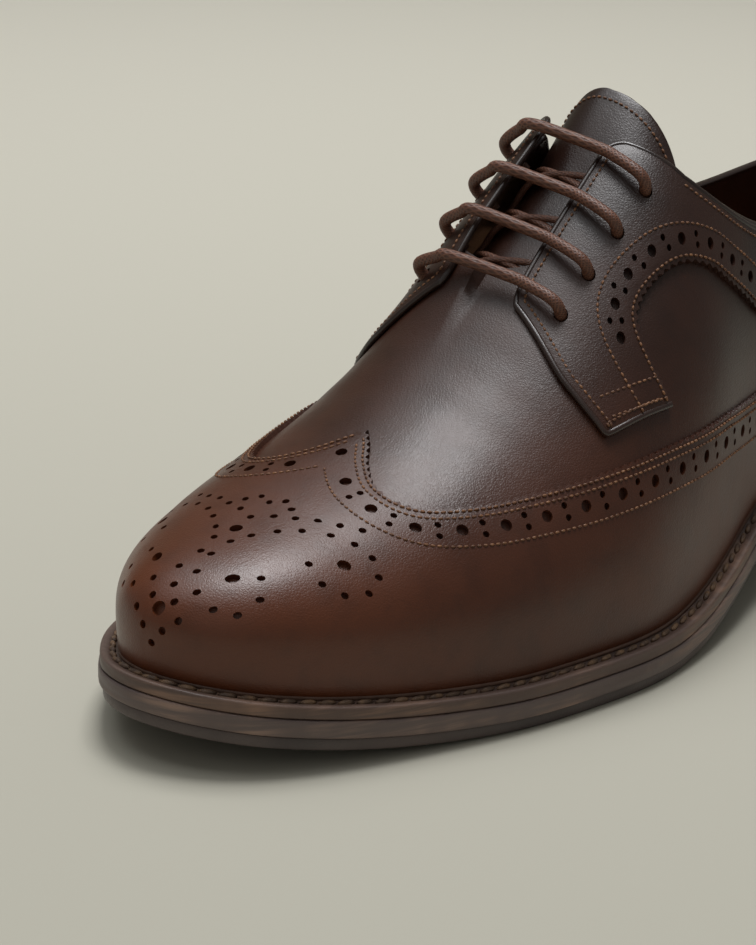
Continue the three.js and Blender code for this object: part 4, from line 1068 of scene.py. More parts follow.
PIECES["tongue"] = grid_mesh("tongue_leather", tongue_sheet())
bm = bmesh.new()
bm.from_mesh(PIECES["tongue"].data)
bmesh.ops.holes_fill(bm, edges=[e for e in bm.edges if e.is_boundary], sides=0)
bmesh.ops.recalc_face_normals(bm, faces=bm.faces[:])
bm.to_mesh(PIECES["tongue"].data)
bm.free()
PIECES["tongue"].data.shade_smooth()
PIECES["tongue"].data.set_sharp_from_angle(angle=math.radians(55))
print("tongue", len(PIECES["tongue"].data.polygons), "faces")

# %% [markdown]
# The top line of the shoe is folded over a thin cord, so it shows as a round rim. The rim is a tube
# along the opening, from one side of the throat round the collar to the other side.

# %% Rim of the collar
def rim_path():
    stations = np.concatenate([np.linspace(-141, -112, 30), np.linspace(-110, HEEL_END, 80)])
    path = []
    for side in (1, -1):
        edge = opening_edge(side, stations)
        points = worn(side * edge, stations, -0.95)
        path.append(points)
    return np.concatenate([path[0], path[1][::-1][1:]])


PIECES["rim"] = sweep("collar_rim", rim_path(), 1.12, 12)
print("rim", len(PIECES["rim"].data.polygons))

# %% [markdown]
# The sole is built from layers, as it is on the real shoe: outsole, midsole, welt, heel lifts and top
# piece. Each layer is a closed stack of rings that follow the plan with a small inset, and its edge
# profile gives the rounded corners and the grooves between the layers.

# %% Rings of the plan
RING_COUNT = 240


def plan_ring(inset):
    """Places on both halves of the plan, each from the back to the tip."""
    halves = {}
    for side in (1, -1):
        line = plan_half(side, inset)
        share = (1 - np.cos(np.linspace(0, math.pi, RING_COUNT + 1))) / 2
        goal = line[0, 1] + (line[-1, 1] - line[0, 1]) * share
        order = np.argsort(line[:, 1])
        halves[side] = np.stack([np.interp(goal, line[order, 1], line[order, 0]), goal], axis=1)
    return halves


def layer_mesh(name, profile, cap_columns):
    """A closed layer. Its profile rows are an inset and a height above the underside."""
    rings = []
    for inset, lift in profile:
        halves = plan_ring(inset)
        loop = np.concatenate([halves[1], halves[-1][::-1][1:-1]])
        rings.append(np.column_stack([loop, underside(loop[:, 1]) + lift]))
    table = np.array(rings)
    table = np.concatenate([table, table[:, :1]], axis=1)
    bm = bmesh.new()
    bmesh.ops.create_grid(bm, x_segments=table.shape[1] - 1, y_segments=table.shape[0] - 1, size=1)
    for vert, point in zip(bm.verts, table.reshape(-1, 3)):
        vert.co = point * MM
    for inset, lift in (profile[0], profile[-1]):
        halves = plan_ring(inset)
        share = np.linspace(0, 1, cap_columns + 1)[None, :, None]
        sheet = halves[1][:, None, :] * (1 - share) + halves[-1][:, None, :] * share
        z = underside(sheet[..., 1]) + lift
        points = np.concatenate([sheet, z[..., None]], axis=2).reshape(-1, 3)
        made = bmesh.ops.create_grid(bm, x_segments=cap_columns, y_segments=RING_COUNT, size=1)["verts"]
        for vert, point in zip(made, points):
            vert.co = point * MM
    bmesh.ops.remove_doubles(bm, verts=bm.verts[:], dist=0.015 * MM)
    bmesh.ops.dissolve_degenerate(bm, dist=0.004 * MM, edges=bm.edges[:])
    bmesh.ops.recalc_face_normals(bm, faces=bm.faces[:])
    mesh = bpy.data.meshes.new(name)
    bm.to_mesh(mesh)
    bm.free()
    thing = link_mesh(name, mesh)
    mesh.shade_smooth()
    mesh.set_sharp_from_angle(angle=math.radians(48))
    print(name, len(mesh.polygons), "faces")
    return thing

# %% [markdown]
# Each layer has its own edge profile, from the lower face outwards and up to the top face. The welt also
# has a shallow channel in which its stitches lie.

# %% Outsole, midsole and welt
OUTSOLE_EDGE = ((1.4, 0), (0.92, 0.06), (0.72, 0.25), (0.66, 0.55), (0.66, 2.4), (0.78, 2.64), (1.3, 2.74))
MIDSOLE_EDGE = ((1.3, 2.84), (0.2, 2.92), (-0.12, 3.06), (-0.26, 3.35), (-0.32, 3.9), (-0.34, 4.9),
                (-0.34, 6.1), (-0.27, 6.55), (-0.1, 6.8), (0.2, 6.92), (1.3, 6.98))
WELT_EDGE = ((1.3, 7.08), (0.25, 7.14), (0.08, 7.26), (0.0, 7.5), (0.0, 9.4), (0.12, 9.74), (0.4, 9.95),
             (0.9, 10.03), (1.8, 10.0), (2.05, 9.78), (3.3, 9.78), (3.55, 10.0), (9.0, 10.02))
PIECES["outsole"] = layer_mesh("outsole_leather", OUTSOLE_EDGE, 72)
PIECES["midsole"] = layer_mesh("midsole_leather", MIDSOLE_EDGE, 10)
PIECES["welt"] = layer_mesh("welt_leather", WELT_EDGE, 10)

# %% [markdown]
# The heel is a stack of lifts under the back of the sole, with a hollow front. A rubber top piece
# carries it.

# %% Heel
BREAST_Y, BREAST_HOLLOW = -36, 4.5


def heel_ring(inset):
    """A closed outline of the heel, with its hollow front."""
    sides = []
    for side in (1, -1):
        line = plan_half(side, inset)
        share = 1 - np.cos(np.linspace(0, math.pi / 2, 60))
        goal = line[0, 1] + (BREAST_Y + inset * 0.6 - line[0, 1]) * share
        order = np.argsort(line[:, 1])
        sides.append(np.stack([np.interp(goal, line[order, 1], line[order, 0]), goal], axis=1))
    outer, inner = sides
    s = np.linspace(0, 1, 40)[1:-1]
    front_x = outer[-1, 0] + (inner[-1, 0] - outer[-1, 0]) * s
    front_y = outer[-1, 1] + BREAST_HOLLOW * np.sin(math.pi * s)
    front = np.stack([front_x, front_y], axis=1)
    return np.concatenate([outer, front, inner[::-1][:-1]])


def heel_mesh(name, profile):
    rings = [np.column_stack([heel_ring(inset), np.full(len(heel_ring(inset)), z)]) for inset, z in profile]
    bm = bmesh.new()
    loops = []
    for ring in rings:
        verts = [bm.verts.new(p * MM) for p in ring]
        loops.append([bm.edges.new((verts[i], verts[(i + 1) % len(verts)])) for i in range(len(verts))])
    for a, b in zip(loops[:-1], loops[1:]):
        bmesh.ops.bridge_loops(bm, edges=a + b)
    bmesh.ops.contextual_create(bm, geom=loops[0])
    bmesh.ops.contextual_create(bm, geom=loops[-1])
    bmesh.ops.triangulate(bm, faces=[f for f in bm.faces if len(f.verts) > 4])
    bmesh.ops.recalc_face_normals(bm, faces=bm.faces[:])
    mesh = bpy.data.meshes.new(name)
    bm.to_mesh(mesh)
    bm.free()
    thing = link_mesh(name, mesh)
    mesh.shade_smooth()
    mesh.set_sharp_from_angle(angle=math.radians(48))
    print(name, len(mesh.polygons), "faces")
    return thing


lift_edge = [(1.3, 6.25), (0.95, 6.4)]
for k in range(1, 3):
    z = 6.3 + k * 4.67
    share = k / 3
    edge = mix(0.95, 0.75, share)
    lift_edge += [(edge, z - 0.22), (edge + 0.28, z), (edge, z + 0.22)]
lift_edge += [(0.7, 19.6), (0.7, 22.0)]
PIECES["heel"] = heel_mesh("heel_lifts", lift_edge)
PIECES["top_piece"] = heel_mesh("heel_rubber", [(2.0, 0), (1.5, 0.12), (1.25, 0.6), (1.15, 5.6), (1.4, 6.1)])
print("heel rings", len(lift_edge))

# %% [markdown]
# A plain tan inlay lies in the waist of the sole, in a narrow black frame. Both are thin patches that
# follow the arch, each a hair lower than the leather round it.

# %% Inlay and its frame
def arch_patch(name, half, front, back, drop):
    bm = bmesh.new()
    bmesh.ops.create_grid(bm, x_segments=12, y_segments=40, size=1)
    for vert in bm.verts:
        y = mix(front, back, (vert.co.y + 1) / 2)
        vert.co = Vector((vert.co.x * half, y, float(underside(y)) - drop)) * MM
    made = bmesh.ops.extrude_face_region(bm, geom=bm.faces[:])
    raised_part = [v for v in made["geom"] if isinstance(v, bmesh.types.BMVert)]
    bmesh.ops.translate(bm, verts=raised_part, vec=(0, 0, 0.6 * MM))
    bmesh.ops.recalc_face_normals(bm, faces=bm.faces[:])
    mesh = bpy.data.meshes.new(name)
    bm.to_mesh(mesh)
    bm.free()
    return finish_mesh(link_mesh(name, mesh))


PIECES["inlay"] = arch_patch("tan_inlay", 7, -92, -58, 0.16)
PIECES["inlay_frame"] = arch_patch("inlay_frame", 8.3, -93.3, -56.7, 0.08)
print("inlay done")

# %% [markdown]
# Stitches are one small bead of thread, repeated along each line that was measured over the leather. The
# welt's stitches are heavier than those of the upper. Each thread is one joined mesh.

# %% Stitches of the upper
FACING_LIFT = 1.57
thread_spots = []
for distance, rows in wing_rows.items():
    for line in rows:
        thread_spots += sew(line, 1.32, 1.25)
for side, (front, curl, top) in ((1, lines_lateral), (-1, lines_medial)):
    for distance in (1.6, 9.4):
        moved = offset_line(curl, distance, side)
        edge = opening_edge(side, moved[:, 1]) * HALF_GIRTH + 1.5
        on_leather = (np.abs(moved[:, 0]) > edge) | (moved[:, 1] < -100)
        thread_spots += sew(moved[on_leather], FACING_LIFT, 1.2)
    inside = offset_line(even(front, 1.0), 2.0, side)
    thread_spots += sew(inside[3:-3], FACING_LIFT, 1.2)
    below = offset_line(even(top, 1.0), 2.2, side)
    thread_spots += sew(below, FACING_LIFT, 1.2)
    for start, end in (((0.343, -155.7), (0.408, -140.1)), ((0.389, -155.7), (0.452, -139.3))):
        pair = np.array([start, end]) * (side * HALF_GIRTH, 1)
        run = pair[0] + (pair[1] - pair[0]) * np.linspace(0, 1, 12)[:, None]
        thread_spots += sew(run, FACING_LIFT, 1.2)

# %% [markdown]
# The seam of the tongue keeps near its edge and turns round the free end.

# %% Seam of the tongue
seam_q = np.linspace(-140, -108.5, 50)
seam_side = np.column_stack([column(tongue_table, "half", seam_q) - 0.05, seam_q])
bend = np.linspace(0, math.pi / 2, 40)[1:]
seam_top = np.column_stack([seam_side[-1, 0] * np.cos(bend), -108.5 + 3.2 * np.sin(bend)])
seam = np.concatenate([seam_side, seam_top])
seam = np.concatenate([seam, seam[::-1][1:] * (-1, 1)])
seam_points = tongue_surface(seam[:, 0], seam[:, 1], -0.08)
run = running_length(seam_points)
goals = np.arange(0.8, run[-1], 1.6)
spots = np.stack([np.interp(goals, run, seam_points[:, k]) for k in range(3)], axis=1)
forwards = np.gradient(spots, axis=0)
forwards /= np.linalg.norm(forwards, axis=1, keepdims=True)
ups = normals_at(np.interp(goals, run, seam[:, 0]), np.interp(goals, run, seam[:, 1]))
thread_spots += stitch_matrices(spots, ups, forwards, 1.3, 0.3)
PIECES["stitches"] = repeat("upper_stitches", template(stitch_shape), thread_spots)
print("stitches of the upper", len(thread_spots))

# %% [markdown]
# The welt is sewn with heavy thread through its channel. The stitches lean a little, as a lockstitch
# does.

# %% Stitches of the welt
welt_line = plan_ring(2.7)
welt_loop = np.concatenate([welt_line[1], welt_line[-1][::-1][1:]])
welt_loop = np.column_stack([welt_loop, underside(welt_loop[:, 1]) + 10.02])
run = running_length(welt_loop)
goals = np.arange(0, run[-1], 4.2)
spots = np.stack([np.interp(goals, run, welt_loop[:, k]) for k in range(3)], axis=1)
ahead = np.stack([np.interp(goals + 0.5, run, welt_loop[:, k]) for k in range(3)], axis=1)
forwards = (ahead - spots)
forwards[-1] = forwards[-2]
forwards /= np.maximum(np.linalg.norm(forwards, axis=1, keepdims=True), 1e-6)
ups = np.tile([0.0, 0.0, 1.0], (len(spots), 1))
welt_spots = stitch_matrices(spots, ups, forwards, 4.3, 0.68, tilt=0.16)
PIECES["welt_stitches"] = repeat("welt_stitches", template(stitch_shape), welt_spots)
print("stitches of the welt", len(welt_spots))

# %% [markdown]
# A thin strip called the rand closes the corner between the upper and the welt. Its ends meet at the
# back.

# %% Rand
def rand_path():
    halves = plan_ring(lambda y: float(column(SECTIONS, "inset", y)) - 1.15)
    loop = even(np.concatenate([halves[1], halves[-1][::-1][1:]]), 1.2)[:-1]
    return np.column_stack([loop, underside(loop[:, 1]) + 10.45])


PIECES["rand"] = sweep("rand_strip", rand_path(), 0.62, 8)
print("rand", len(PIECES["rand"].data.polygons), "faces")

# %% [markdown]
# Four straight bars of round waxed lace cross the throat. Each comes up out of an eyelet of one facing
# and goes down into the eyelet of the other. Underneath, the lace crosses over the tongue from row to
# row.

# %% Paths of the laces
LACE_RADIUS, LACE_CLEARANCE, FACING_THICKNESS = 1.4, 0.3, 1.8


def lace_bar_path(q):
    over = LACE_CLEARANCE + FACING_THICKNESS + LACE_CLEARANCE + LACE_RADIUS
    heights = ((1.02, -3.4), (1.005, -1.2), (1.0, 0.9), (0.96, 0.95 * over), (0.86, over + 0.9),
               (0.6, over + 0.5), (0.36, over + 0.2))
    points = []
    for side in (1, -1):
        half = [raised(side * EYELET_ACROSS * share, float(q), lift) for share, lift in heights]
        points += half if side > 0 else half[::-1]
    return spline(points, 8)


def under_path(q_from, q_to, side):
    rows = ((1.02, -3.2), (0.9, -3.0), (0.6, -1.5), (0.25, -1.25), (-0.25, -1.25), (-0.6, -1.5),
            (-0.9, -3.0), (-1.02, -3.2))
    points = []
    for i, (k, h) in enumerate(rows):
        q = mix(q_from, q_to, i / (len(rows) - 1))
        points.append(raised(side * EYELET_ACROSS * k, float(q), h, 0))
    return spline(points, 8)

# %% [markdown]
# The bars are round, and the crossings beneath them are flatter, because the bars press them on to the
# tongue. One of each pair lies a little higher, where the two cross.

# %% Laces
for i, q in enumerate(EYELET_STATIONS):
    PIECES["lace_%d" % (i + 1)] = sweep("lace_%d" % (i + 1), lace_bar_path(q), LACE_RADIUS, 16)
for i in range(3):
    for side in (1, -1):
        name = "lace_under_%d_%s" % (i + 1, "a" if side > 0 else "b")
        path = under_path(EYELET_STATIONS[i], EYELET_STATIONS[i + 1], side)
        PIECES[name] = sweep(name, path + (0, 0, 0.5 if side > 0 else 0), 1.15, 12, 0.7)
print("laces done")

# %% [markdown]
# Finishes come from a few shared node groups. One gives leather its fine grain and pores, one gives a slow
# cloudy change of colour, and each material sets its own strength. The leather itself is a deep brown that
# turns warmer towards the toe, with a painted warm glow low on the sides, a little coat for its polish, and
# a soft broad gloss.

# %% Helpers for nodes
def new_group(name, inputs, outputs):
    group = bpy.data.node_groups.new(name, "ShaderNodeTree")
    for label, kind, value in inputs:
        socket = group.interface.new_socket(label, in_out="INPUT", socket_type=kind)
        if value is not None:
            socket.default_value = value
    for label, kind in outputs:
        group.interface.new_socket(label, in_out="OUTPUT", socket_type=kind)
    return group, group.nodes.new("NodeGroupInput"), group.nodes.new("NodeGroupOutput")


def math_node(tree, operation, a, b=None):
    made = tree.nodes.new("ShaderNodeMath")
    made.operation = operation
    for slot, value in enumerate((a, b)):
        if value is None:
            continue
        if isinstance(value, (int, float)):
            made.inputs[slot].default_value = value
        else:
            tree.links.new(value, made.inputs[slot])
    return made.outputs[0]


def mix_colour(tree, factor, first, second):
    made = tree.nodes.new("ShaderNodeMix")
    made.data_type = "RGBA"
    for name, value in (("Factor", factor), ("A", first), ("B", second)):
        sockets = [s for s in made.inputs if s.name == name and s.enabled]
        socket = sockets[0]
        if isinstance(value, (int, float, tuple)):
            socket.default_value = value
        else:
            tree.links.new(value, socket)
    return [s for s in made.outputs if s.enabled][0]


def noise(tree, vector, scale, detail=4.0, rough=0.55):
    made = tree.nodes.new("ShaderNodeTexNoise")
    made.inputs["Scale"].default_value = scale
    made.inputs["Detail"].default_value = detail
    made.inputs["Roughness"].default_value = rough
    tree.links.new(vector, made.inputs["Vector"])
    return made.outputs["Fac"]


def ranged(tree, value, low, high, to_low=0.0, to_high=1.0):
    made = tree.nodes.new("ShaderNodeMapRange")
    made.interpolation_type = "SMOOTHSTEP"
    for name, number in (("From Min", low), ("From Max", high), ("To Min", to_low), ("To Max", to_high)):
        made.inputs[name].default_value = number
    tree.links.new(value, made.inputs["Value"])
    return made.outputs["Result"]

# %% [markdown]
# The groups put out only masks and heights that change over the surface. The first is the grain of the
# leather: pores, two sizes of unevenness and fine wrinkles. The second is the fibre of a waxed edge, and
# the third is the uneven take of a dye.

# %% Shared node groups
def make_grain_group():
    group, inside, outside = new_group(
        "leather grain", [("Vector", "NodeSocketVector", None), ("Size", "NodeSocketFloat", 1.0)],
        [("Height", "NodeSocketFloat"), ("Cloud", "NodeSocketFloat"), ("Fine", "NodeSocketFloat")])
    scaled = group.nodes.new("ShaderNodeVectorMath")
    scaled.operation = "SCALE"
    group.links.new(inside.outputs["Vector"], scaled.inputs[0])
    group.links.new(inside.outputs["Size"], scaled.inputs["Scale"])
    vector = scaled.outputs["Vector"]
    cells = group.nodes.new("ShaderNodeTexVoronoi")
    cells.feature = "DISTANCE_TO_EDGE"
    cells.inputs["Scale"].default_value = 1500
    group.links.new(vector, cells.inputs["Vector"])
    pores = ranged(group, cells.outputs["Distance"], 0.0, 0.28)
    fine = noise(group, vector, 900, 3.0)
    broad = noise(group, vector, 140, 4.0)
    height = math_node(group, "MULTIPLY", pores, 0.35)
    height = math_node(group, "ADD", height, math_node(group, "MULTIPLY", fine, 0.5))
    height = math_node(group, "ADD", height, math_node(group, "MULTIPLY", broad, 0.9))
    folds = noise(group, vector, 95, 5.0, 0.6)
    ridge = math_node(group, "ABSOLUTE", math_node(group, "SUBTRACT", folds, 0.5))
    wrinkle = math_node(group, "MULTIPLY", ranged(group, ridge, 0.0, 0.05),
                        ranged(group, noise(group, vector, 17, 2.0), 0.46, 0.62))
    height = math_node(group, "ADD", height, math_node(group, "MULTIPLY", wrinkle, 0.22))
    group.links.new(height, outside.inputs["Height"])
    group.links.new(noise(group, vector, 22, 3.0), outside.inputs["Cloud"])
    group.links.new(broad, outside.inputs["Fine"])
    return group


GRAIN = make_grain_group()


def make_fibre_group():
    group, inside, outside = new_group(
        "edge fibres", [("Vector", "NodeSocketVector", None)],
        [("Streaks", "NodeSocketFloat"), ("Fibres", "NodeSocketFloat")])
    vector = inside.outputs["Vector"]
    stretch = group.nodes.new("ShaderNodeMapping")
    stretch.inputs["Scale"].default_value = (30, 30, 700)
    group.links.new(vector, stretch.inputs["Vector"])
    fibres = noise(group, stretch.outputs["Vector"], 1.0, 5.0, 0.65)
    patches = ranged(group, noise(group, vector, 45.0, 3.0), 0.38, 0.66)
    streaks = math_node(group, "MULTIPLY", ranged(group, fibres, 0.38, 0.68), patches)
    group.links.new(streaks, outside.inputs["Streaks"])
    group.links.new(fibres, outside.inputs["Fibres"])
    return group


FIBRES = make_fibre_group()


def make_spot_group():
    group, inside, outside = new_group(
        "dye spots", [("Vector", "NodeSocketVector", None), ("Scale", "NodeSocketFloat", 60.0)],
        [("Share", "NodeSocketFloat")])
    spots = noise(group, inside.outputs["Vector"], 60.0, 5.0)
    group.links.new(inside.outputs["Scale"], spots.node.inputs["Scale"])
    group.links.new(ranged(group, spots, 0.35, 0.68), outside.inputs["Share"])
    return group


SPOTS = make_spot_group()
print("node groups", len(bpy.data.node_groups))

# %% [markdown]
# Each finish starts from a new material, reads the coordinates of its own piece, and bends its normal
# with a bump.

# %% Starting a finish
def start_material(name):
    material = bpy.data.materials.new(name)
    material.use_nodes = True
    tree = material.node_tree
    shader = tree.nodes["Principled BSDF"]
    place = tree.nodes.new("ShaderNodeTexCoord").outputs["Object"]
    return material, tree, shader, place


def add_group(tree, group, place, values):
    """Places a node group on the piece's own coordinates, with its own values."""
    made = tree.nodes.new("ShaderNodeGroup")
    made.node_tree = group
    for label, value in values.items():
        made.inputs[label].default_value = value
    tree.links.new(place, made.inputs["Vector"])
    return made.outputs


def add_bump(tree, shader, height, strength, distance):
    bump = tree.nodes.new("ShaderNodeBump")
    bump.inputs["Strength"].default_value = strength
    bump.inputs["Distance"].default_value = distance
    tree.links.new(height, bump.inputs["Height"])
    tree.links.new(bump.outputs["Normal"], shader.inputs["Normal"])
    return bump

# %% [markdown]
# Polished leather is a deep brown that turns warmer towards the toe. Low on the sides it is painted warmer
# still, a painted glow that stands in for light there. Its gloss comes from the shader.

# %% Polished leather and plain finishes
def leather(name, deep, warm, roughness=0.4, coat=0.13, bump=0.5):
    """Polished leather. deep and warm are the two ends of its colour, which turns warmer towards the toe,
    and low on the sides by a painted glow.
    """
    material, tree, shader, place = start_material(name)
    grain = add_group(tree, GRAIN, place, {"Size": 1.0})
    split = tree.nodes.new("ShaderNodeSeparateXYZ")
    tree.links.new(place, split.inputs[0])
    toe = ranged(tree, split.outputs["Y"], -0.27, -0.185, 1.0, 0.0)
    # Painted glow: the colour turns warmer towards the bottom of each piece, standing in for light low on
    # the sides.
    low = ranged(tree, split.outputs["Z"], 0.02, 0.085, 0.55, 0.0)
    cloud = ranged(tree, grain["Cloud"], 0.3, 0.7, 0.0, 0.22)
    share = math_node(tree, "ADD", math_node(tree, "MULTIPLY", toe, 0.55), low)
    share = math_node(tree, "ADD", share, cloud)
    share.node.use_clamp = True
    colour = mix_colour(tree, share, (*deep, 1), (*warm, 1))
    darker = tuple(v * 0.55 for v in deep)
    mottled = mix_colour(tree, ranged(tree, grain["Fine"], 0.4, 0.75, 0.0, 0.22), colour, (*darker, 1))
    streaks = ranged(tree, noise(tree, place, 320.0, 6.0, 0.7), 0.6, 0.8, 0.0, 0.25)
    worn_colour = mix_colour(tree, streaks, mottled, (*warm, 1))
    tree.links.new(worn_colour, shader.inputs["Base Color"])
    tree.links.new(ranged(tree, grain["Cloud"], 0.3, 0.7, roughness - 0.06, roughness + 0.08),
                   shader.inputs["Roughness"])
    shader.inputs["Coat Weight"].default_value = coat
    shader.inputs["Coat Roughness"].default_value = 0.24
    shader.inputs["Specular IOR Level"].default_value = 0.44
    add_bump(tree, shader, grain["Height"], bump, 0.00012)
    return material


def plain(name, first, second, roughness, bump, size=1.0, scale=60.0):
    material, tree, shader, place = start_material(name)
    grain = add_group(tree, GRAIN, place, {"Size": size})
    spots = add_group(tree, SPOTS, place, {"Scale": scale})["Share"]
    tree.links.new(mix_colour(tree, spots, (*first, 1), (*second, 1)), shader.inputs["Base Color"])
    tree.links.new(ranged(tree, grain["Fine"], 0.3, 0.7, roughness - 0.08, roughness + 0.08),
                   shader.inputs["Roughness"])
    add_bump(tree, shader, grain["Height"], bump, 0.0002)
    return material


def tone(red, green, blue):
    """A screen colour from 0 to 255 as the linear numbers that a shader takes."""
    def linear(v):
        v = v / 255
        return v / 12.92 if v <= 0.04045 else ((v + 0.055) / 1.055) ** 2.4
    return linear(red), linear(green), linear(blue)

# %% [markdown]
# The waxed edge shows the fibres of stacked leather. The lace shows crossing strands, which read the map
# of the tube, so that they follow each bend.

# %% Waxed edges and laces
def layered_edge(name, dark, light, roughness):
    """The waxed edge of stacked leather, with long pale streaks that run along it."""
    material, tree, shader, place = start_material(name)
    grain = add_group(tree, GRAIN, place, {"Size": 0.7})
    edge = add_group(tree, FIBRES, place, {})
    tree.links.new(mix_colour(tree, edge["Streaks"], (*dark, 1), (*light, 1)), shader.inputs["Base Color"])
    gloss = ranged(tree, edge["Fibres"], 0.3, 0.7, roughness - 0.08, roughness + 0.12)
    tree.links.new(gloss, shader.inputs["Roughness"])
    height = math_node(tree, "ADD", edge["Fibres"], math_node(tree, "MULTIPLY", grain["Height"], 0.4))
    add_bump(tree, shader, height, 0.35, 0.00025)
    return material


def braided(name, dark, light):
    """A waxed round lace. Two sets of slanting strands cross, read from the tube's own map."""
    material, tree, shader, place = start_material(name)
    run = tree.nodes.new("ShaderNodeUVMap")
    run.uv_map = "run"
    split = tree.nodes.new("ShaderNodeSeparateXYZ")
    tree.links.new(run.outputs["UV"], split.inputs[0])
    around = math_node(tree, "MULTIPLY", split.outputs["X"], 8.0)
    along = math_node(tree, "MULTIPLY", split.outputs["Y"], 9.0)
    waves = []
    for operation in ("ADD", "SUBTRACT"):
        phase = math_node(tree, "MULTIPLY", math_node(tree, operation, along, around), math.pi)
        waves.append(math_node(tree, "ABSOLUTE", math_node(tree, "SINE", phase)))
    strands = math_node(tree, "MAXIMUM", waves[0], waves[1])
    fibre = noise(tree, place, 900.0, 3.0)
    fluff = ranged(tree, fibre, 0.3, 0.7, 0.35, 1.0)
    # Painted shade: the gaps between the strands take the dark tone and the strand crowns the light one; the
    # fibre noise adds real unevenness.
    share = math_node(tree, "MULTIPLY", ranged(tree, strands, 0.7, 1.0), fluff)
    tree.links.new(mix_colour(tree, share, (*dark, 1), (*light, 1)), shader.inputs["Base Color"])
    tree.links.new(ranged(tree, fibre, 0.3, 0.7, 0.42, 0.6), shader.inputs["Roughness"])
    height = math_node(tree, "ADD", strands, math_node(tree, "MULTIPLY", fibre, 0.3))
    add_bump(tree, shader, height, 0.35, 0.0004)
    return material

# %% [markdown]
# The underside of the sole has two thin oval grooves and two short slots. They are shallow, so they are a
# line of painted shade with a bump, and only on faces that look down.

# %% Underside of the sole
def sole_face(name, first, second):
    """The smooth underside: two thin oval grooves at the forefoot and two short slots, with painted shade in
    them, and fine scuffs.
    """
    material, tree, shader, place = start_material(name)
    grain = add_group(tree, GRAIN, place, {"Size": 0.7})
    centred = tree.nodes.new("ShaderNodeMapping")
    centred.inputs["Location"].default_value = (-0.1, 4.42, 0)
    centred.inputs["Scale"].default_value = (1 / 0.0385, 1 / 0.0425, 0)
    tree.links.new(place, centred.inputs["Vector"])
    reach = tree.nodes.new("ShaderNodeVectorMath")
    reach.operation = "LENGTH"
    tree.links.new(centred.outputs["Vector"], reach.inputs[0])
    groove_and_shade_masks = []
    for middle in (0.99, 0.91):
        gap = math_node(tree, "ABSOLUTE", math_node(tree, "SUBTRACT", reach.outputs["Value"], middle))
        groove_and_shade_masks.append(ranged(tree, gap, 0.008, 0.02, 1.0, 0.0))
    for where, turn in (((0.040, -0.143, 0), -0.42), ((-0.030, -0.140, 0), 0.30)):
        slot_map = tree.nodes.new("ShaderNodeMapping")
        slot_map.vector_type = "TEXTURE"
        slot_map.inputs["Location"].default_value = where
        slot_map.inputs["Rotation"].default_value = (0, 0, turn)
        tree.links.new(place, slot_map.inputs["Vector"])
        parts = tree.nodes.new("ShaderNodeSeparateXYZ")
        tree.links.new(slot_map.outputs["Vector"], parts.inputs[0])
        narrow = ranged(tree, math_node(tree, "ABSOLUTE", parts.outputs["X"]), 0.0004, 0.0008, 1.0, 0.0)
        short = ranged(tree, math_node(tree, "ABSOLUTE", parts.outputs["Y"]), 0.010, 0.0115, 1.0, 0.0)
        groove_and_shade_masks.append(math_node(tree, "MULTIPLY", narrow, short))
    facing_down = tree.nodes.new("ShaderNodeSeparateXYZ")
    geometry = tree.nodes.new("ShaderNodeNewGeometry")
    tree.links.new(geometry.outputs["Normal"], facing_down.inputs[0])
    down = ranged(tree, facing_down.outputs["Z"], -0.8, -0.6, 1.0, 0.0)
    groove_and_shade = groove_and_shade_masks[0]
    for other in groove_and_shade_masks[1:]:
        groove_and_shade = math_node(tree, "MAXIMUM", groove_and_shade, other)
    groove_and_shade = math_node(tree, "MULTIPLY", groove_and_shade, down)
    spots = add_group(tree, SPOTS, place, {"Scale": 40.0})["Share"]
    colour = mix_colour(tree, spots, (*first, 1), (*second, 1))
    # Painted shade: the grooves and slots are darkened to a quarter of the sole's colour.
    dark = tuple(v * 0.25 for v in first)
    tree.links.new(mix_colour(tree, groove_and_shade, colour, (*dark, 1)), shader.inputs["Base Color"])
    tree.links.new(ranged(tree, grain["Fine"], 0.3, 0.7, 0.4, 0.56), shader.inputs["Roughness"])
    height = math_node(tree, "SUBTRACT", math_node(tree, "MULTIPLY", grain["Height"], 0.12), groove_and_shade)
    add_bump(tree, shader, height, 0.6, 0.0008)
    return material

# %% [markdown]
# All the finishes of the shoe, with their colours as they look on a screen.

# %% Finishes
UPPER_DEEP, UPPER_WARM = tone(31, 15, 9), tone(92, 46, 22)
MATERIALS = {
    "leather": leather("brown_calf_leather", UPPER_DEEP, UPPER_WARM),
    "rim": leather("burnished_edge", tone(34, 20, 15), tone(62, 36, 25), 0.3, 0.4, 0.2),
    "lining": plain("tan_lining_leather", tone(150, 104, 66), tone(120, 80, 50), 0.6, 0.35),
    "edge": layered_edge("waxed_edge", tone(98, 84, 80), tone(150, 124, 110), 0.5),
    "welt": layered_edge("welt_edge", tone(88, 70, 62), tone(138, 108, 90), 0.5),
    "sole": sole_face("dark_sole", tone(72, 63, 61), tone(90, 78, 74)),
    "rubber": plain("heel_rubber", tone(36, 32, 31), tone(48, 42, 40), 0.6, 0.5, 0.7, 40.0),
    "lace": braided("waxed_lace", tone(80, 49, 37), tone(124, 82, 62)),
    "thread": plain("brown_thread", tone(92, 58, 36), tone(142, 98, 64), 0.55, 0.5, 1.5, 500.0),
    "welt_thread": plain("welt_thread", tone(74, 55, 42), tone(122, 94, 68), 0.6, 0.5, 1.5, 300.0),
    "rand": plain("rand_leather", tone(104, 76, 62), tone(82, 58, 46), 0.55, 0.4),
    "inlay": plain("tan_inlay", tone(150, 90, 48), tone(126, 72, 38), 0.5, 0.4),
}

# %% [markdown]
# Each piece is given its finish. The upper has two, the leather and the lining.

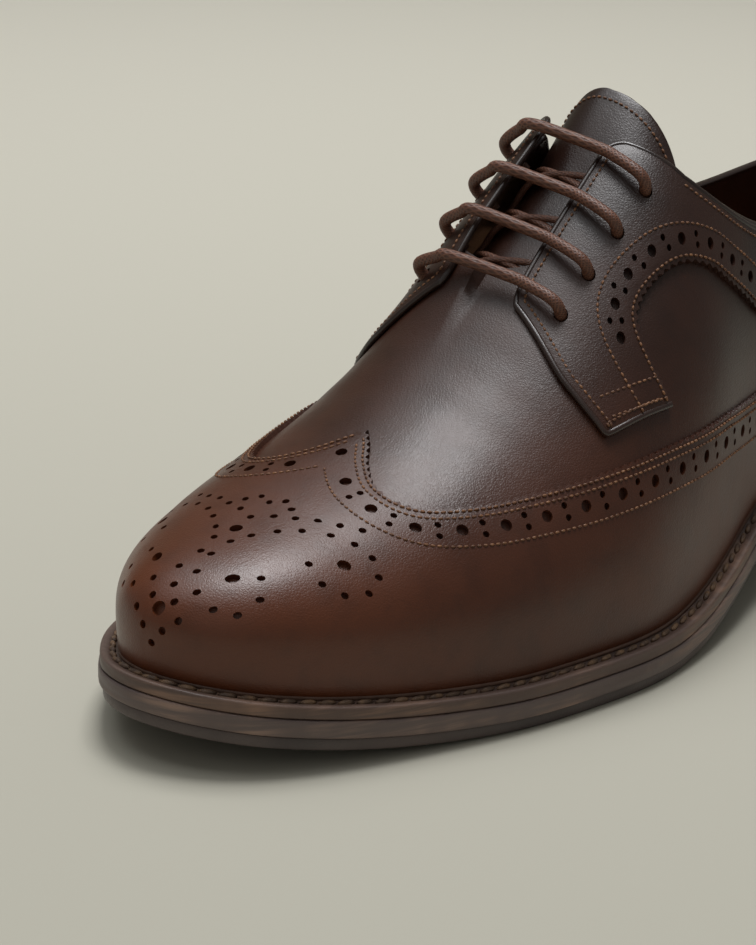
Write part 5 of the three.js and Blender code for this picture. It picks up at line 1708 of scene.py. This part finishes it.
# %% Giving out the finishes
GIVEN = {
    "upper": ("leather", "lining"), "wing": ("leather",), "facing_lateral": ("leather",),
    "facing_medial": ("leather",), "backstay": ("leather", "leather"), "tongue": ("leather",),
    "rim": ("rim",), "edge_lateral": ("rim",), "edge_medial": ("rim",), "outsole": ("sole",),
    "midsole": ("edge",), "welt": ("welt",), "heel": ("edge",), "top_piece": ("rubber",),
    "stitches": ("thread",), "welt_stitches": ("welt_thread",), "rand": ("rand",),
    "inlay": ("inlay",), "inlay_frame": ("rubber",),
}
for key, piece in PIECES.items():
    names = GIVEN.get(key, ("lace",))
    piece.data.materials.clear()
    for name in names:
        piece.data.materials.append(MATERIALS[name])
insole_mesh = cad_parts["insole"].data
insole_mesh.materials.clear()
insole_mesh.materials.append(MATERIALS["lining"])
print(len(MATERIALS), "finishes")

# %% [markdown]
# Each piece rides on the one body of the shoe, and the new pieces stand for the plain solids that they
# cover.

# %% Riding and replacing
STANDS_FOR = {
    "upper": "upper", "wing": "wing_cap", "facing_lateral": "facing_lateral",
    "facing_medial": "facing_medial", "backstay": "backstay", "tongue": "tongue", "outsole": "outsole", "midsole": "midsole", "welt": "welt",
    "heel": "heel_block", "top_piece": "heel_top_piece", "lace_1": "lace_bar_1", "lace_2": "lace_bar_2",
    "lace_3": "lace_bar_3", "lace_4": "lace_bar_4", "inlay": "sole_inlay",
}
for key, piece in PIECES.items():
    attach(piece, "root")
    if key in STANDS_FOR:
        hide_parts(STANDS_FOR[key])
    name = GIVEN.get(key, ("lace",))[0]
print("pieces", len(PIECES))

# %% [markdown]
# The studio is a pale warm grey floor that rises behind, one large soft light above, and a weaker one
# that gives the broad sheen along the toe and the vamp.

# %% Studio floor
def studio_sheet():
    bm = bmesh.new()
    bmesh.ops.create_grid(bm, x_segments=4, y_segments=60, size=1)
    back = Vector((-math.sin(math.radians(CAMERA_TURN)), math.cos(math.radians(CAMERA_TURN)), 0))
    right = Vector((back.y, -back.x, 0))
    for vert in bm.verts:
        x, s = vert.co.x * 4, (vert.co.y + 1) / 2
        run = -2.5 + 6.5 * s
        height = 0
        if run > 2.2:
            bend = min((run - 2.2) / 1.2, 1) * math.pi / 2
            height = 0.9 * (1 - math.cos(bend)) + max(run - 3.4, 0) * 3
            run = 2.2 + 0.9 * math.sin(bend)
        place = right * x + back * run
        vert.co = (place.x, place.y, height)
    bmesh.ops.recalc_face_normals(bm, faces=bm.faces[:])
    mesh = bpy.data.meshes.new("studio_floor")
    bm.to_mesh(mesh)
    bm.free()
    floor = link_mesh("studio_floor", mesh)
    mesh.shade_smooth()
    material, tree, shader, place = start_material("studio_paper")
    split = tree.nodes.new("ShaderNodeSeparateXYZ")
    tree.links.new(place, split.inputs[0])
    # Painted light: the floor is painted lighter towards the back, standing in for the fall of light across
    # the studio.
    away = math_node(tree, "SUBTRACT", math_node(tree, "MULTIPLY", split.outputs["Y"], 0.77),
                     math_node(tree, "MULTIPLY", split.outputs["X"], 0.64))
    painted_light_to_back = ranged(tree, away, -0.5, 0.9)
    colour = mix_colour(tree, painted_light_to_back, (*tone(181, 178, 164), 1), (*tone(213, 209, 195), 1))
    tree.links.new(colour, shader.inputs["Base Color"])
    shader.inputs["Roughness"].default_value = 0.85
    mesh.materials.append(material)
    return floor

# %% [markdown]
# Three soft square lights and an even pale sky light the shoe. The first gives the highlight of the vamp
# and the shadow under the toe.

# %% Lights
def soft_light(name, place, aim, size, power, colour):
    data = bpy.data.lights.new(name, "AREA")
    data.shape = "SQUARE"
    data.size = size
    data.energy = power
    data.color = colour
    light = bpy.data.objects.new(name, data)
    light.location = place
    light.rotation_euler = (Vector(aim) - Vector(place)).to_track_quat("-Z", "Y").to_euler()
    COLLECTION.objects.link(light)
    return light


studio_sheet()
soft_light("key_light", (-0.2, 0.12, 1.6), (0, -0.14, 0), 0.62, 16.5, (0.98, 0.985, 1.0))
soft_light("broad_light", (-0.35, -0.25, 1.6), (0, -0.15, 0), 1.5, 9.5, (0.96, 0.98, 1.0))
soft_light("front_light", (0.5, -1.3, 0.8), (0, -0.2, 0.03), 0.9, 0.5, (1, 0.96, 0.9))
world = bpy.data.worlds.new("studio_air")
world.use_nodes = True
world.node_tree.nodes["Background"].inputs["Color"].default_value = (0.93, 0.93, 0.9, 1)
world.node_tree.nodes["Background"].inputs["Strength"].default_value = 0.2
bpy.context.scene.world = world
bpy.context.scene.view_settings.view_transform = "Standard"

# %% [markdown]
# Last, the scene is brought up to date.

# %% Finish
bpy.context.view_layer.update()
